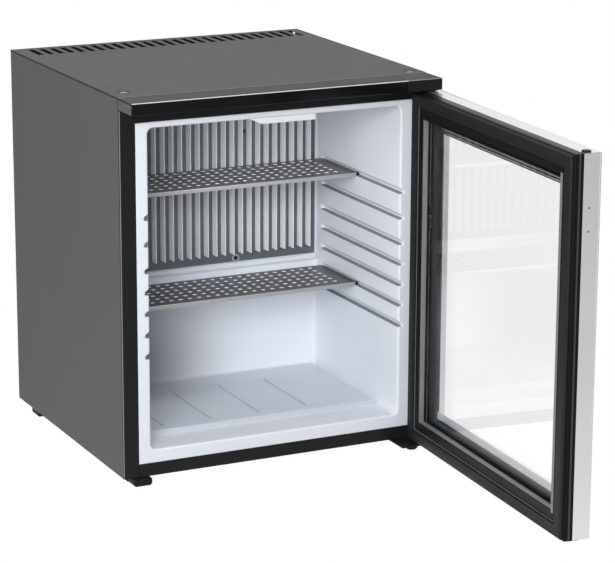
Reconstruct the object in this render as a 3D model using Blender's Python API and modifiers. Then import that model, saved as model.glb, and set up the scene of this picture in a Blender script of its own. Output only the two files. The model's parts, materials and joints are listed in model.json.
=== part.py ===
"""A glass-door minibar fridge of about 60 litres, cooled by an absorption unit behind its back wall.

Lengths are in metres. X runs to the right, Y to the back and Z up. While it is modelled, the front frame's
face lies at Y = 0, the middle of the width at X = 0 and the floor at Z = 0. The door is modelled shut and
then swung open on its hinge, and at the end the whole part is centred over its origin.
"""

import math

import bmesh
import bpy
from mathutils import Matrix

# Cabinet
WIDTH = 0.490
DEPTH = 0.446
HEIGHT = 0.575
FOOT_HEIGHT = 0.013
SHEET = 0.001
GAP = 0.0003
SIDE_FLANGE = 0.015
SKIRT_HEIGHT = 0.012
BAY_DEPTH = 0.121
BACK_WALL = 0.042

# Black front frame of two stiles and two rails
FRAME_DEPTH = 0.005
STILE_WIDTH = 0.024
BOTTOM_RAIL_HEIGHT = 0.0193
TOP_RAIL_HEIGHT = 0.0201

# Top front trim
TRIM_HEIGHT = 0.0173
TRIM_REACH = 0.047
TRIM_WALL = 0.002
FASCIA_THICKNESS = 0.0017
HINGE_COVER_WIDTH = 0.057

# Vent slots in the top cover
SLOT_PITCH = 0.017
SLOT_WIDTH = 0.010
SLOT_LENGTH = 0.054
SLOT_REAR_RIM = 0.009
SLOT_LEFT_MARGIN = 0.023
SLOT_RIGHT_MARGIN = 0.0145

# Small oblong caps in the top cover
CAP_LENGTH = 0.022
CAP_WIDTH = 0.009
CAP_THICKNESS = 0.0008
LEFT_CAP_INSET = 0.026
LEFT_CAP_Y = 0.048
RIGHT_CAP_INSET = 0.017
RIGHT_CAP_Y = 0.026

# Moulded liner
LINER_SIDE_MARGIN = 0.0189
LINER_BOTTOM_MARGIN = 0.020
LINER_TOP_MARGIN = 0.0091
LINER_WALL = 0.002
LINER_CORNER = 0.009
LINER_EDGE = 0.003
LINER_BACK_FILLET = 0.006
PLATFORM_RISE = 0.0077
PLATFORM_FRONT = 0.060
PLATFORM_SIDE_GAP = 0.0036
DRAIN_GROOVE_PITCH = 0.079
DRAIN_GROOVE_FIRST = -0.151
DRAIN_GROOVE_COUNT = 4
DRAIN_GROOVE_WIDTH = 0.0025
DRAIN_GROOVE_DEPTH = 0.0008
DRAIN_GROOVE_FRONT = 0.080
DRAIN_GROOVE_LENGTH = 0.155

# Shelf grooves in the liner's side walls
GROOVE_HEIGHT = 0.009
GROOVE_DEPTH = 0.006
GROOVE_END_GAP = 0.0187
LOWEST_GROOVE_RISE = 0.1417
GROOVE_PITCH = 0.0318
UPPER_GROOVE_PITCH = 0.0391
LOWER_GROOVE_COUNT = 5
UPPER_GROOVE_COUNT = 2
LOWER_SHELF_GROOVE = 1
UPPER_SHELF_GROOVE = 6

# Perforated shelves
SHELF_DEPTH = 0.1210
SHELF_SIDE_HEIGHT = 0.0044
SHELF_FRONT_LIP = 0.0065
SHELF_REAR_LIP = 0.004
SHELF_SIDE_CLEARANCE = 0.002
SHELF_LIP_INSET = 0.003
SHELF_NOTCH = 0.004
SHELF_HOLE = 0.0068
SHELF_HOLE_SIDES = 5
SHELF_HOLE_PITCH_X = 0.0153
SHELF_HOLE_PITCH_Y = 0.0176
SHELF_HOLE_SIDE_MARGIN = 0.023
SHELF_HOLE_REAR_MARGIN = 0.012
SHELF_FIRST_ROW = 0.019

# Finned evaporator
EVAPORATOR_SIDE_GAP = 0.0041
EVAPORATOR_TOP_GAP = 0.0085
EVAPORATOR_HEIGHT = 0.277
EVAPORATOR_PLATE = 0.002
EVAPORATOR_PAD = 0.001
EVAPORATOR_PAD_SIDE_MARGIN = 0.028
EVAPORATOR_PAD_MARGIN = 0.030
FIN_RISE = 0.015
FIN_SIDE_MARGIN = 0.0148
FIN_PITCH = 0.01465
FIN_THICKNESS = 0.0016
FIN_DEPTH = 0.015
FIN_ROOT = 0.0005
EVAPORATOR_SCREW_GAP = 5
EVAPORATOR_SCREW_DROP = 0.070
EVAPORATOR_SCREW_HEAD = 0.0042

# Drain
DRAIN_FROM_TRAY_END = 0.055
DRAIN_RISE = 0.006
DRAIN_RADIUS = 0.005
DRAIN_BORE = 0.0034
DRAIN_FLANGE = 0.0065
DRAIN_FLANGE_THICKNESS = 0.0015
DRAIN_REACH = 0.014
HOSE_RADIUS = 0.0085
HOSE_BORE = 0.0062
HOSE_BEND = 0.012
HOSE_LOW = 0.092
GUTTER_DROP = 0.007
GUTTER_DEPTH = 0.012
GUTTER_WALL = 0.0013

# Interior lamp
LAMP_LEFT = -0.042
LAMP_RIGHT = 0.064
LAMP_CHAMFER = 0.020
LAMP_FRONT = 0.004
LAMP_LENGTH = 0.070
LAMP_DROP = 0.0095
LAMP_WALL = 0.004
LAMP_RECESS = 0.006
LENS_THICKNESS = 0.0015

# Door
DOOR_REST_ANGLE = 87.1
DOOR_CLEARANCE = 0.001
DOOR_TOP_GAP = 0.004
DOOR_BOTTOM_GAP = 0.0051
DOOR_THICKNESS = 0.045
GASKET_OUTER_INSET = 0.002
GASKET_INNER_INSET = 0.020
GASKET_THICKNESS = 0.004
GASKET_CHAMFER = 0.002
INNER_FRAME_THICKNESS = 0.0099
REVEAL_INSET = 0.036
REVEAL_DEPTH = 0.0117
REVEAL_ROUND = 0.0015
PROFILE_WALL = 0.0016
PROFILE_LINE = 0.0028
PROFILE_LINE_SIZE = 0.0008
PROFILE_LIP_INSET = 0.046
PANE_INSET = 0.033
INNER_PANE = 0.003
OUTER_PANE = 0.004
SPACER_DEPTH = 0.012
SPACER_OUTER_INSET = 0.0335
SPACER_INNER_INSET = 0.041
MITRE_GAP = 0.00022
LOCK_HOLE = 0.0013
LOCK_HOLE_DROPS = (0.0737, 0.1057)
LOCK_HOLE_DEPTH = 0.0279

# Door hinge
HINGE_INSET = 0.0097
HINGE_DEPTH = 0.0274
PIN_RADIUS = 0.004
PIN_HEAD = 0.006
PIN_HEAD_HEIGHT = 0.002
PIN_ENGAGEMENT = 0.013
PIN_SHOULDER = 0.007
BUSH_RADIUS = 0.007
BUSH_BORE = 0.0043
BUSH_FLANGE = 0.0085
BUSH_FLANGE_HEIGHT = 0.0009
BUSH_LENGTH = 0.018
BRACKET_THICKNESS = 0.0022
BRACKET_WIDTH = 0.052
BRACKET_REACH = 0.038
BRACKET_LEG_WIDTH = 0.028
BRACKET_LEG_THICKNESS = 0.0025
LOWER_BRACKET_THICKNESS = 0.0025
LOWER_BRACKET_BACK = 0.040
PLUG_RADIUS = 0.00675
PLUG_STEM = 0.0055
PLUG_HEIGHT = 0.002
PLUG_LENGTH = 0.010

# Feet
FOOT_SIZE = 0.029
FOOT_INSET_X = 0.014
FRONT_FOOT_Y = -0.006
REAR_FOOT_SETBACK = 0.073
FOOT_BEVEL = 0.003
HINGE_FOOT_RADIUS = 0.010
HINGE_FOOT_INSET = 0.026
HINGE_FOOT_Y = -0.016

# Absorption cooling unit in the bay behind the back panel
UNIT_SETBACK = 0.063
PIPE_RADIUS = 0.008
PIPE_BEND = 0.018
BOILER_SIDE_GAP = 0.008
BOILER_RADIUS = 0.032
BOILER_LOW = 0.070
BOILER_HIGH = 0.270
BOILER_EDGE = 0.004
ELEMENT_RADIUS = 0.0055
ELEMENT_OFFSET = 0.016
ELEMENT_LENGTH = 0.100
ELEMENT_TAIL = 0.012
VESSEL_INSET = 0.080
VESSEL_TO_BOILER = 0.075
VESSEL_RADIUS = 0.026
VESSEL_Z = 0.075
COIL_INSET = 0.105
COIL_TO_BOILER = 0.062
COIL_LOW = 0.125
COIL_PITCH = 0.030
COIL_HEADROOM = 0.020
COIL_TO_COLD_PIPE = 0.050
COLD_PIPE_HEIGHT = 0.100
COLD_PIPE_DROP = 0.040
COLD_BLOCK_WIDTH = 0.039
COLD_BLOCK_DEPTH = 0.013
COLD_CHANNEL = 0.003
CONDENSER_DROP = 0.075
CONDENSER_SLOPE = 0.008
CONDENSER_TO_BOILER = 0.045
CONDENSER_FIRST_FIN_GAP = 0.032
CONDENSER_LAST_FIN_GAP = 0.024
CONDENSER_FIN_PITCH = 0.0145
CONDENSER_FIN_SIZE = 0.050
CONDENSER_FIN = 0.001
CONDENSER_TAIL_DROP = 0.010
SUPPORT_WIDTH = 0.008
SUPPORT_HEIGHT = 0.020
CRADLE_LENGTH = 0.090
CRADLE_WIDTH = 0.036
CRADLE_WALL = 0.002
TRAY_WIDTH = 0.105
TRAY_TO_BOILER = 0.040
TRAY_DEPTH = 0.0332
TRAY_LOW = 0.055
TRAY_HIGH = 0.080
TRAY_WALL = 0.0015
BOX_WIDTH = 0.048
BOX_SIDE_GAP = 0.007
BOX_DEPTH = 0.0457
BOX_LOW = 0.090
BOX_HIGH = 0.190
BOX_EDGE = 0.003
GLAND_RADIUS = 0.006
GLAND_BORE = 0.0036
GLAND_LENGTH = 0.008
GLAND_RISE = 0.018
CROSSBAR_HEIGHT = 0.020
CROSSBAR_DEPTH = 0.0055
UPPER_CROSSBAR_DROP = 0.036

# Heights and widths that follow from the sizes above
HALF = WIDTH / 2
TRIM_LOW = HEIGHT - TRIM_HEIGHT
COVER_LOW = HEIGHT - SHEET
BODY_FRONT = FRAME_DEPTH + GAP
INSIDE_FRONT = BODY_FRONT + SHEET + GAP
SKIRT_HALF = HALF - SHEET - GAP
FOAM_HALF = SKIRT_HALF - SHEET - GAP
BACK_PANEL_Y = DEPTH - BAY_DEPTH
LINER_DEPTH = BACK_PANEL_Y - BACK_WALL
GROOVE_END = LINER_DEPTH - GROOVE_END_GAP
SHELF_FRONT = GROOVE_END - GAP - SHELF_DEPTH
OPENING_HALF = HALF - STILE_WIDTH - LINER_SIDE_MARGIN
OPENING_LOW = FOOT_HEIGHT + BOTTOM_RAIL_HEIGHT + LINER_BOTTOM_MARGIN
OPENING_HIGH = TRIM_LOW - TOP_RAIL_HEIGHT - LINER_TOP_MARGIN
EVAPORATOR_HALF = OPENING_HALF - EVAPORATOR_SIDE_GAP
EVAPORATOR_HIGH = OPENING_HIGH - EVAPORATOR_TOP_GAP
EVAPORATOR_LOW = EVAPORATOR_HIGH - EVAPORATOR_HEIGHT
FIN_LOW = EVAPORATOR_LOW + FIN_RISE
FIN_COUNT = 1 + int(2 * (EVAPORATOR_HALF - FIN_SIDE_MARGIN) / FIN_PITCH)
GUTTER_LOW = EVAPORATOR_LOW - GUTTER_DROP
GUTTER_FRONT = LINER_DEPTH - GUTTER_DEPTH
DOOR_LOW = FOOT_HEIGHT + DOOR_BOTTOM_GAP
DOOR_HIGH = TRIM_LOW - DOOR_TOP_GAP
DOOR_FRONT = -DOOR_CLEARANCE - DOOR_THICKNESS
STEP_Y = -DOOR_CLEARANCE - GASKET_THICKNESS - GAP
INNER_FRAME_BACK = STEP_Y - INNER_FRAME_THICKNESS
REVEAL_BACK = STEP_Y - REVEAL_DEPTH
INNER_PANE_BACK = REVEAL_BACK - GAP - INNER_PANE
OUTER_PANE_FACE = INNER_PANE_BACK - GAP - SPACER_DEPTH - GAP
OUTER_PANE_BACK = OUTER_PANE_FACE - OUTER_PANE
HINGE_X = HALF - HINGE_INSET
HINGE_Y = -HINGE_DEPTH
EVAPORATOR_BACK = LINER_DEPTH - GAP - EVAPORATOR_PAD
EVAPORATOR_FACE = EVAPORATOR_BACK - EVAPORATOR_PLATE
BAY_FRONT = BACK_PANEL_Y + SHEET + GAP
BRACKET_RIGHT = HALF - SHEET
BRACKET_LEFT = BRACKET_RIGHT - BRACKET_WIDTH
UNIT_Y = BACK_PANEL_Y + UNIT_SETBACK
BOX_RIGHT = HALF - BOX_SIDE_GAP
BOX_LEFT = BOX_RIGHT - BOX_WIDTH
BOX_REAR = BAY_FRONT + BOX_DEPTH
BOILER_X = BOX_LEFT - BOILER_SIDE_GAP - BOILER_RADIUS
TRAY_RIGHT = BOILER_X - TRAY_TO_BOILER
TRAY_LEFT = TRAY_RIGHT - TRAY_WIDTH
TRAY_REAR = BAY_FRONT + TRAY_DEPTH
DRAIN_X = TRAY_LEFT + DRAIN_FROM_TRAY_END
DRAIN_Z = EVAPORATOR_LOW + DRAIN_RISE
VESSEL_LEFT = VESSEL_INSET - HALF
VESSEL_RIGHT = BOILER_X - VESSEL_TO_BOILER
CRADLE_LEFT = (VESSEL_LEFT + VESSEL_RIGHT - CRADLE_LENGTH) / 2
CRADLE_RIGHT = CRADLE_LEFT + CRADLE_LENGTH
CONDENSER_Z = HEIGHT - CONDENSER_DROP
CONDENSER_TAIL = CONDENSER_Z - CONDENSER_TAIL_DROP
COLD_HIGH = CONDENSER_TAIL - COLD_PIPE_DROP
COLD_LOW = COLD_HIGH - COLD_PIPE_HEIGHT
COIL_LEFT = COIL_INSET - HALF
COIL_RIGHT = BOILER_X - COIL_TO_BOILER
COIL_TOP = COLD_LOW - COIL_TO_COLD_PIPE
COIL_TURN_PAIRS = int((1 + (COIL_TOP - COIL_HEADROOM - COIL_LOW) / COIL_PITCH) / 2)
CONDENSER_END = BOILER_X - CONDENSER_TO_BOILER
CONDENSER_FIRST_FIN = COIL_LEFT + CONDENSER_FIRST_FIN_GAP
CONDENSER_FIN_SPAN = CONDENSER_END - CONDENSER_LAST_FIN_GAP - CONDENSER_FIRST_FIN
COLD_PIPE_Y = LINER_DEPTH + COLD_BLOCK_DEPTH + GAP + PIPE_RADIUS

# Colour, roughness and metallic value of each finish
FINISHES = {
    "grey_steel": ((0.105, 0.107, 0.112), 0.5, 0.3),
    "black_steel": ((0.018, 0.018, 0.020), 0.4, 0.2),
    "gloss_black": ((0.008, 0.008, 0.009), 0.12, 0.0),
    "black_plastic": ((0.015, 0.015, 0.016), 0.45, 0.0),
    "white_plastic": ((0.80, 0.83, 0.87), 0.3, 0.0),
    "lamp_white": ((0.92, 0.93, 0.94), 0.25, 0.0),
    "foam": ((0.80, 0.74, 0.52), 0.9, 0.0),
    "fin_aluminium": ((0.60, 0.62, 0.64), 0.35, 0.9),
    "shelf_steel": ((0.42, 0.43, 0.44), 0.35, 0.8),
    "satin_aluminium": ((0.72, 0.73, 0.74), 0.28, 0.9),
    "rubber": ((0.030, 0.030, 0.032), 0.7, 0.0),
    "glass": ((0.85, 0.92, 0.90), 0.03, 0.0),
    "zinc": ((0.55, 0.56, 0.57), 0.4, 0.9),
    "painted_pipe": ((0.045, 0.045, 0.047), 0.55, 0.1),
    "galvanised": ((0.50, 0.52, 0.53), 0.45, 0.7),
}

bpy.context.scene.unit_settings.system = "METRIC"
for old in list(bpy.data.objects):
    bpy.data.objects.remove(old)
PARTS = bpy.data.collections.new("minibar_fridge")
CUTTERS = bpy.data.collections.new("cutters")
bpy.context.scene.collection.children.link(PARTS)
bpy.context.scene.collection.children.link(CUTTERS)


def make_material(name, finish):
    colour, roughness, metallic = FINISHES[finish]
    material = bpy.data.materials.new(name)
    material.use_nodes = True
    material.diffuse_color = (*colour, 1.0)
    shader = material.node_tree.nodes["Principled BSDF"]
    shader.inputs["Base Color"].default_value = (*colour, 1.0)
    shader.inputs["Roughness"].default_value = roughness
    shader.inputs["Metallic"].default_value = metallic
    return material


def add_object(name, data, finish):
    """A piece with its own material or, with no finish, a helper that isn't rendered."""
    obj = bpy.data.objects.new(name, data)
    if finish:
        PARTS.objects.link(obj)
        data.materials.append(make_material(name, finish))
    else:
        CUTTERS.objects.link(obj)
        obj.hide_render = True
        obj.display_type = "WIRE"
    return obj


def mesh_of(name, bm):
    mesh = bpy.data.meshes.new(name)
    bm.to_mesh(mesh)
    bm.free()
    return mesh


def block(name, finish, *spans):
    """A box between two values along X, Y and Z."""
    size = [high - low for low, high in spans]
    bm = bmesh.new()
    bmesh.ops.create_cube(bm, size=1.0, matrix=Matrix.Diagonal((*size, 1.0)))
    obj = add_object(name, mesh_of(name, bm), finish)
    obj.location = [(low + high) / 2 for low, high in spans]
    return obj


def block_row(name, rows):
    """A helper of several separate boxes."""
    bm = bmesh.new()
    for spans in rows:
        size = [high - low for low, high in spans]
        centre = [(low + high) / 2 for low, high in spans]
        place = Matrix.Translation(centre) @ Matrix.Diagonal((*size, 1.0))
        bmesh.ops.create_cube(bm, size=1.0, matrix=place)
    return add_object(name, mesh_of(name, bm), None)


def drum(name, finish, radius, centre, length, axis="Z", sides=24):
    """A cylinder along one axis."""
    bm = bmesh.new()
    bmesh.ops.create_cone(
        bm, cap_ends=True, segments=sides, radius1=radius, radius2=radius, depth=length
    )
    obj = add_object(name, mesh_of(name, bm), finish)
    obj.rotation_euler = {
        "X": (0, math.pi / 2, 0), "Y": (-math.pi / 2, 0, 0), "Z": (0, 0, 0)
    }[axis]
    obj.location = centre
    smooth(obj)
    return obj


def smooth(obj):
    obj.data.shade_smooth()
    obj.data.set_sharp_from_angle(angle=math.radians(35))


def as_mesh(curve):
    """Turns a curve into a welded mesh under the same name, in the same place."""
    bpy.context.view_layer.update()
    graph = bpy.context.evaluated_depsgraph_get()
    mesh = bpy.data.meshes.new_from_object(curve.evaluated_get(graph))
    bm = bmesh.new()
    bm.from_mesh(mesh)
    bmesh.ops.remove_doubles(bm, verts=bm.verts, dist=1e-6)
    bmesh.ops.recalc_face_normals(bm, faces=bm.faces)
    bm.to_mesh(mesh)
    bm.free()
    name = curve.name
    place = curve.matrix_world.copy()
    home = curve.users_collection[0]
    bpy.data.objects.remove(curve)
    obj = bpy.data.objects.new(name, mesh)
    home.objects.link(obj)
    obj.matrix_world = place
    if home == CUTTERS:
        obj.hide_render = True
        obj.display_type = "WIRE"
    return obj


def extrusion(name, finish, outline, plane, span):
    """A flat outline in the XY, XZ or YZ plane, drawn out between two values of the third axis."""
    data = bpy.data.curves.new(name, "CURVE")
    data.dimensions = "2D"
    data.fill_mode = "BOTH"
    data.extrude = (span[1] - span[0]) / 2
    spline = data.splines.new("POLY")
    spline.points.add(len(outline) - 1)
    for point, (u, v) in zip(spline.points, outline):
        point.co = (u, v, 0, 1)
    spline.use_cyclic_u = True
    curve = add_object(name, data, finish)
    middle = (span[0] + span[1]) / 2
    turns = {"XY": (0, 0, 0), "XZ": (math.pi / 2, 0, 0), "YZ": (math.pi / 2, 0, math.pi / 2)}
    places = {"XY": (0, 0, middle), "XZ": (0, middle, 0), "YZ": (middle, 0, 0)}
    curve.rotation_euler = turns[plane]
    curve.location = places[plane]
    return as_mesh(curve)


def turned(name, finish, profile, place, axis="Z", ring=False, steps=16):
    """A turned shape. The profile of radii and heights ends by running down its outer side."""
    bm = bmesh.new()
    verts = [bm.verts.new((radius, 0, height)) for radius, height in profile]
    for first, second in zip(verts, verts[1:] + verts[:1] if ring else verts[1:]):
        bm.edges.new((first, second))
    obj = add_object(name, mesh_of(name, bm), finish)
    screw = obj.modifiers.new("turn", "SCREW")
    screw.steps = steps
    screw.render_steps = steps
    screw.use_merge_vertices = True
    screw.merge_threshold = 1e-5
    if axis == "Y":
        obj.rotation_euler = (-math.pi / 2, 0, 0)
    if axis == "X":
        obj.rotation_euler = (0, math.pi / 2, 0)
    obj.location = place
    return obj


def rounded_path(corners, bend, steps=4):
    """Points along straight runs whose corners are arcs."""
    points = [corners[0]]
    for before, corner, after in zip(corners, corners[1:], corners[2:]):
        inward = (corner - before).normalized()
        outward = (after - corner).normalized()
        turn = inward.angle(outward)
        if turn < 0.02:
            points.append(corner)
            continue
        reach = bend * math.tan(turn / 2)
        start = corner - inward * reach
        side = (outward - inward * math.cos(turn)).normalized()
        for step in range(steps + 1):
            angle = turn * step / steps
            points.append(start + inward * bend * math.sin(angle) + side * bend * (1 - math.cos(angle)))
    points.append(corners[-1])
    return points


def tube(name, finish, points, radius):
    """A round tube along a path."""
    data = bpy.data.curves.new(name, "CURVE")
    data.dimensions = "3D"
    data.bevel_depth = radius
    data.bevel_resolution = 2
    data.use_fill_caps = True
    spline = data.splines.new("POLY")
    spline.points.add(len(points) - 1)
    for point, place in zip(spline.points, points):
        point.co = (*place, 1)
    return as_mesh(add_object(name, data, finish))


def vector(x, y, z):
    return Matrix.Translation((x, y, z)).translation


def loop_points(half_width, low, high, radius, y, steps=3):
    """Points round an upright rectangle, centred across the width, with rounded corners."""
    if radius == 0:
        return [(half_width, y, high), (-half_width, y, high), (-half_width, y, low), (half_width, y, low)]
    across = half_width - radius
    points = []
    for quarter, (x, z) in enumerate(
        ((across, high - radius), (-across, high - radius), (-across, low + radius), (across, low + radius))
    ):
        for step in range(steps + 1):
            angle = math.pi / 2 * (quarter + step / steps)
            points.append((x + radius * math.cos(angle), y, z + radius * math.sin(angle)))
    return points


def lofted(name, finish, loops, ring=False, capped=()):
    """Joins loops of as many points in turn, back to the first for a ring, and caps the loops named."""
    bm = bmesh.new()
    rows = [[bm.verts.new(point) for point in loop] for loop in loops]
    following = rows[1:] + rows[:1] if ring else rows[1:]
    for first, second in zip(rows, following):
        for index in range(len(first)):
            bm.faces.new((first[index - 1], first[index], second[index], second[index - 1]))
    for index in capped:
        bm.faces.new(rows[index])
    bmesh.ops.recalc_face_normals(bm, faces=bm.faces)
    return add_object(name, mesh_of(name, bm), finish)


def boolean(part, tool, operation):
    modifier = part.modifiers.new(tool.name, "BOOLEAN")
    modifier.operation = operation
    modifier.solver = "EXACT"
    modifier.object = tool


def cut(part, tool):
    boolean(part, tool, "DIFFERENCE")


def join(part, tool):
    boolean(part, tool, "UNION")


def bevel(obj, width, segments=2):
    modifier = obj.modifiers.new("edges", "BEVEL")
    modifier.width = width
    modifier.segments = segments
    modifier.limit_method = "ANGLE"


def cabinet_panels():
    side_top = COVER_LOW - GAP
    for name, side in (("side_panel_left", -1), ("side_panel_right", 1)):
        outline = [
            (side * HALF, BODY_FRONT),
            (side * (HALF - SIDE_FLANGE), BODY_FRONT),
            (side * (HALF - SIDE_FLANGE), BODY_FRONT + SHEET),
            (side * (HALF - SHEET), BODY_FRONT + SHEET),
            (side * (HALF - SHEET), DEPTH),
            (side * HALF, DEPTH),
        ]
        extrusion(name, "grey_steel", outline, "XY", (FOOT_HEIGHT, side_top))
    base = [
        (-SKIRT_HALF, FOOT_HEIGHT), (SKIRT_HALF, FOOT_HEIGHT), (SKIRT_HALF, FOOT_HEIGHT + SKIRT_HEIGHT),
        (SKIRT_HALF - SHEET, FOOT_HEIGHT + SKIRT_HEIGHT), (SKIRT_HALF - SHEET, FOOT_HEIGHT + SHEET),
        (SHEET - SKIRT_HALF, FOOT_HEIGHT + SHEET), (SHEET - SKIRT_HALF, FOOT_HEIGHT + SKIRT_HEIGHT),
        (-SKIRT_HALF, FOOT_HEIGHT + SKIRT_HEIGHT),
    ]
    extrusion("base_panel", "galvanised", base, "XZ", (INSIDE_FRONT, DEPTH - GAP))
    back = block(
        "back_panel", "galvanised", (-FOAM_HALF, FOAM_HALF), (BACK_PANEL_Y, BACK_PANEL_Y + SHEET),
        (FOOT_HEIGHT + SHEET + GAP, COVER_LOW - GAP),
    )
    cut(back, cold_window("back_window", BACK_PANEL_Y - SHEET, BAY_FRONT + SHEET))
    cut(back, drain_hole("back_drain_hole", BACK_PANEL_Y))
    bars = (
        ("rear_crossbar_lower", FOAM_HALF, FOOT_HEIGHT + SHEET + GAP),
        ("rear_crossbar_upper", SKIRT_HALF, HEIGHT - UPPER_CROSSBAR_DROP),
    )
    for name, half, low in bars:
        rear = DEPTH - GAP
        block(name, "galvanised", (-half, half), (rear - CROSSBAR_DEPTH, rear), (low, low + CROSSBAR_HEIGHT))


def cold_window(name, front, back):
    """The opening that the cooling unit's pipe passes through."""
    side = PIPE_RADIUS + COLD_CHANNEL
    return block(
        name, None, (COIL_LEFT - side, COIL_LEFT + side), (front, back),
        (COLD_LOW - side, COLD_HIGH + side),
    )


def drain_hole(name, y):
    return drum(name, None, DRAIN_RADIUS + GAP, (DRAIN_X, y, DRAIN_Z), 0.012, axis="Y")


def oblong(name, finish, place, extra, low, high):
    """An upright plug of oblong outline, with straight sides along Y and round ends."""
    radius = CAP_WIDTH / 2 + extra
    straight = (CAP_LENGTH - CAP_WIDTH) / 2
    outline = []
    for step in range(14):
        angle = math.pi * (step if step < 7 else step - 1) / 6
        shift = straight if step < 7 else -straight
        outline.append((place[0] + radius * math.cos(angle), place[1] + shift + radius * math.sin(angle)))
    return extrusion(name, finish, outline, "XY", (low, high))


def top_cover():
    front = FRAME_DEPTH + 2 * GAP
    cover = block("top_cover", "grey_steel", (-HALF, HALF), (front, DEPTH), (COVER_LOW, HEIGHT))
    for side in (-1, 1):
        span_x = sorted((side * SKIRT_HALF, side * (SKIRT_HALF - SHEET)))
        skirt = (COVER_LOW - SKIRT_HEIGHT, COVER_LOW + SHEET / 2)
        join(cover, block(f"cover_skirt_{side}", None, span_x, (INSIDE_FRONT, DEPTH - GAP), skirt))
    slots = []
    first = SLOT_LEFT_MARGIN + SLOT_WIDTH / 2 - HALF
    last = HALF - SLOT_RIGHT_MARGIN - SLOT_WIDTH / 2
    rear = DEPTH - SLOT_REAR_RIM
    for index in range(1 + int((last - first) / SLOT_PITCH)):
        x = first + index * SLOT_PITCH
        span_x = (x - SLOT_WIDTH / 2, x + SLOT_WIDTH / 2)
        slots.append((span_x, (rear - SLOT_LENGTH, rear), (COVER_LOW - SHEET, HEIGHT + SHEET)))
    cut(cover, block_row("vent_slots", slots))
    left_place = (LEFT_CAP_INSET - HALF, LEFT_CAP_Y)
    right_place = (HALF - RIGHT_CAP_INSET, RIGHT_CAP_Y)
    for side, place in (("left", left_place), ("right", right_place)):
        cut(cover, oblong("cap_hole_" + side, None, place, GAP, COVER_LOW - SHEET, HEIGHT + SHEET))
        oblong("top_cap_" + side, "black_plastic", place, 0, COVER_LOW, COVER_LOW + CAP_THICKNESS)


def front_frame():
    depth = (0, FRAME_DEPTH)
    rail = (GAP - HALF + STILE_WIDTH, HALF - STILE_WIDTH - GAP)
    stile_top = TRIM_LOW - GAP
    block("front_stile_left", "black_steel", (-HALF, STILE_WIDTH - HALF), depth, (FOOT_HEIGHT, stile_top))
    block("front_stile_right", "black_steel", (HALF - STILE_WIDTH, HALF), depth, (FOOT_HEIGHT, stile_top))
    bottom = (FOOT_HEIGHT, FOOT_HEIGHT + BOTTOM_RAIL_HEIGHT)
    block("front_rail_bottom", "black_steel", rail, depth, bottom)
    top = (TRIM_LOW - TOP_RAIL_HEIGHT, HEIGHT - TRIM_WALL)
    block("front_rail_top", "black_steel", rail, depth, top)


def front_trim():
    """The trim over the door: a channel that is open to the rear, with a hinge cover at its right end."""
    back = FRAME_DEPTH + GAP
    front = -TRIM_REACH + FASCIA_THICKNESS + GAP
    ceiling = HEIGHT - TRIM_WALL + GAP
    seam = HALF - HINGE_COVER_WIDTH
    height = (TRIM_LOW, HEIGHT)
    past = 2 * TRIM_WALL
    trim = block("front_trim", "grey_steel", (-HALF, seam - GAP), (front, back), height)
    inside = (TRIM_WALL - HALF, seam + past)
    cut(trim, block("trim_channel", None, inside, (front + TRIM_WALL, back + past), (TRIM_LOW + TRIM_WALL, ceiling)))
    rail_room = (TRIM_LOW - past, TRIM_LOW + past)
    cut(trim, block("trim_rail_room", None, inside, (-2 * GAP, back + past), rail_room))
    fascia = block(
        "fascia_strip", "gloss_black", (-HALF, seam - GAP), (-TRIM_REACH, FASCIA_THICKNESS - TRIM_REACH),
        (TRIM_LOW, HEIGHT - GAP),
    )
    bevel(fascia, 0.0005, 1)
    cover = block("hinge_cover", "black_plastic", (seam, HALF), (-TRIM_REACH, back), height)
    inside = (seam - past, HALF - TRIM_WALL)
    hollow = (TRIM_WALL - TRIM_REACH, back + past), (TRIM_LOW - past, ceiling)
    cut(cover, block("hinge_room", None, inside, *hollow))


def liner_loops(grow, front):
    """The liner's inner surface from the opening to the back wall, grown outwards by a wall."""
    half = OPENING_HALF + grow
    low = OPENING_LOW - grow
    high = OPENING_HIGH + grow
    corner = LINER_CORNER + grow
    fillet = LINER_BACK_FILLET + grow
    back = LINER_DEPTH + grow
    loops = [loop_points(half, low, high, corner, front)]
    for step in range(3):
        angle = math.pi / 2 * step / 2
        inset = fillet * (1 - math.cos(angle))
        y = back - fillet + fillet * math.sin(angle)
        loops.append(loop_points(half - inset, low + inset, high - inset, corner - inset, y))
    return loops


def groove_levels():
    lowest = OPENING_LOW + LOWEST_GROOVE_RISE
    levels = [lowest + GROOVE_PITCH * index for index in range(LOWER_GROOVE_COUNT)]
    for _ in range(UPPER_GROOVE_COUNT):
        levels.append(levels[-1] + UPPER_GROOVE_PITCH)
    return levels


def groove_row(name, front, start, depth, end, half_height):
    """Bars along both side walls, one at each shelf groove."""
    rows = []
    for level in groove_levels():
        for side in (-1, 1):
            span_x = sorted((side * start, side * (OPENING_HALF + depth)))
            rows.append((span_x, (front, end), (level - half_height, level + half_height)))
    return block_row(name, rows)


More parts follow.
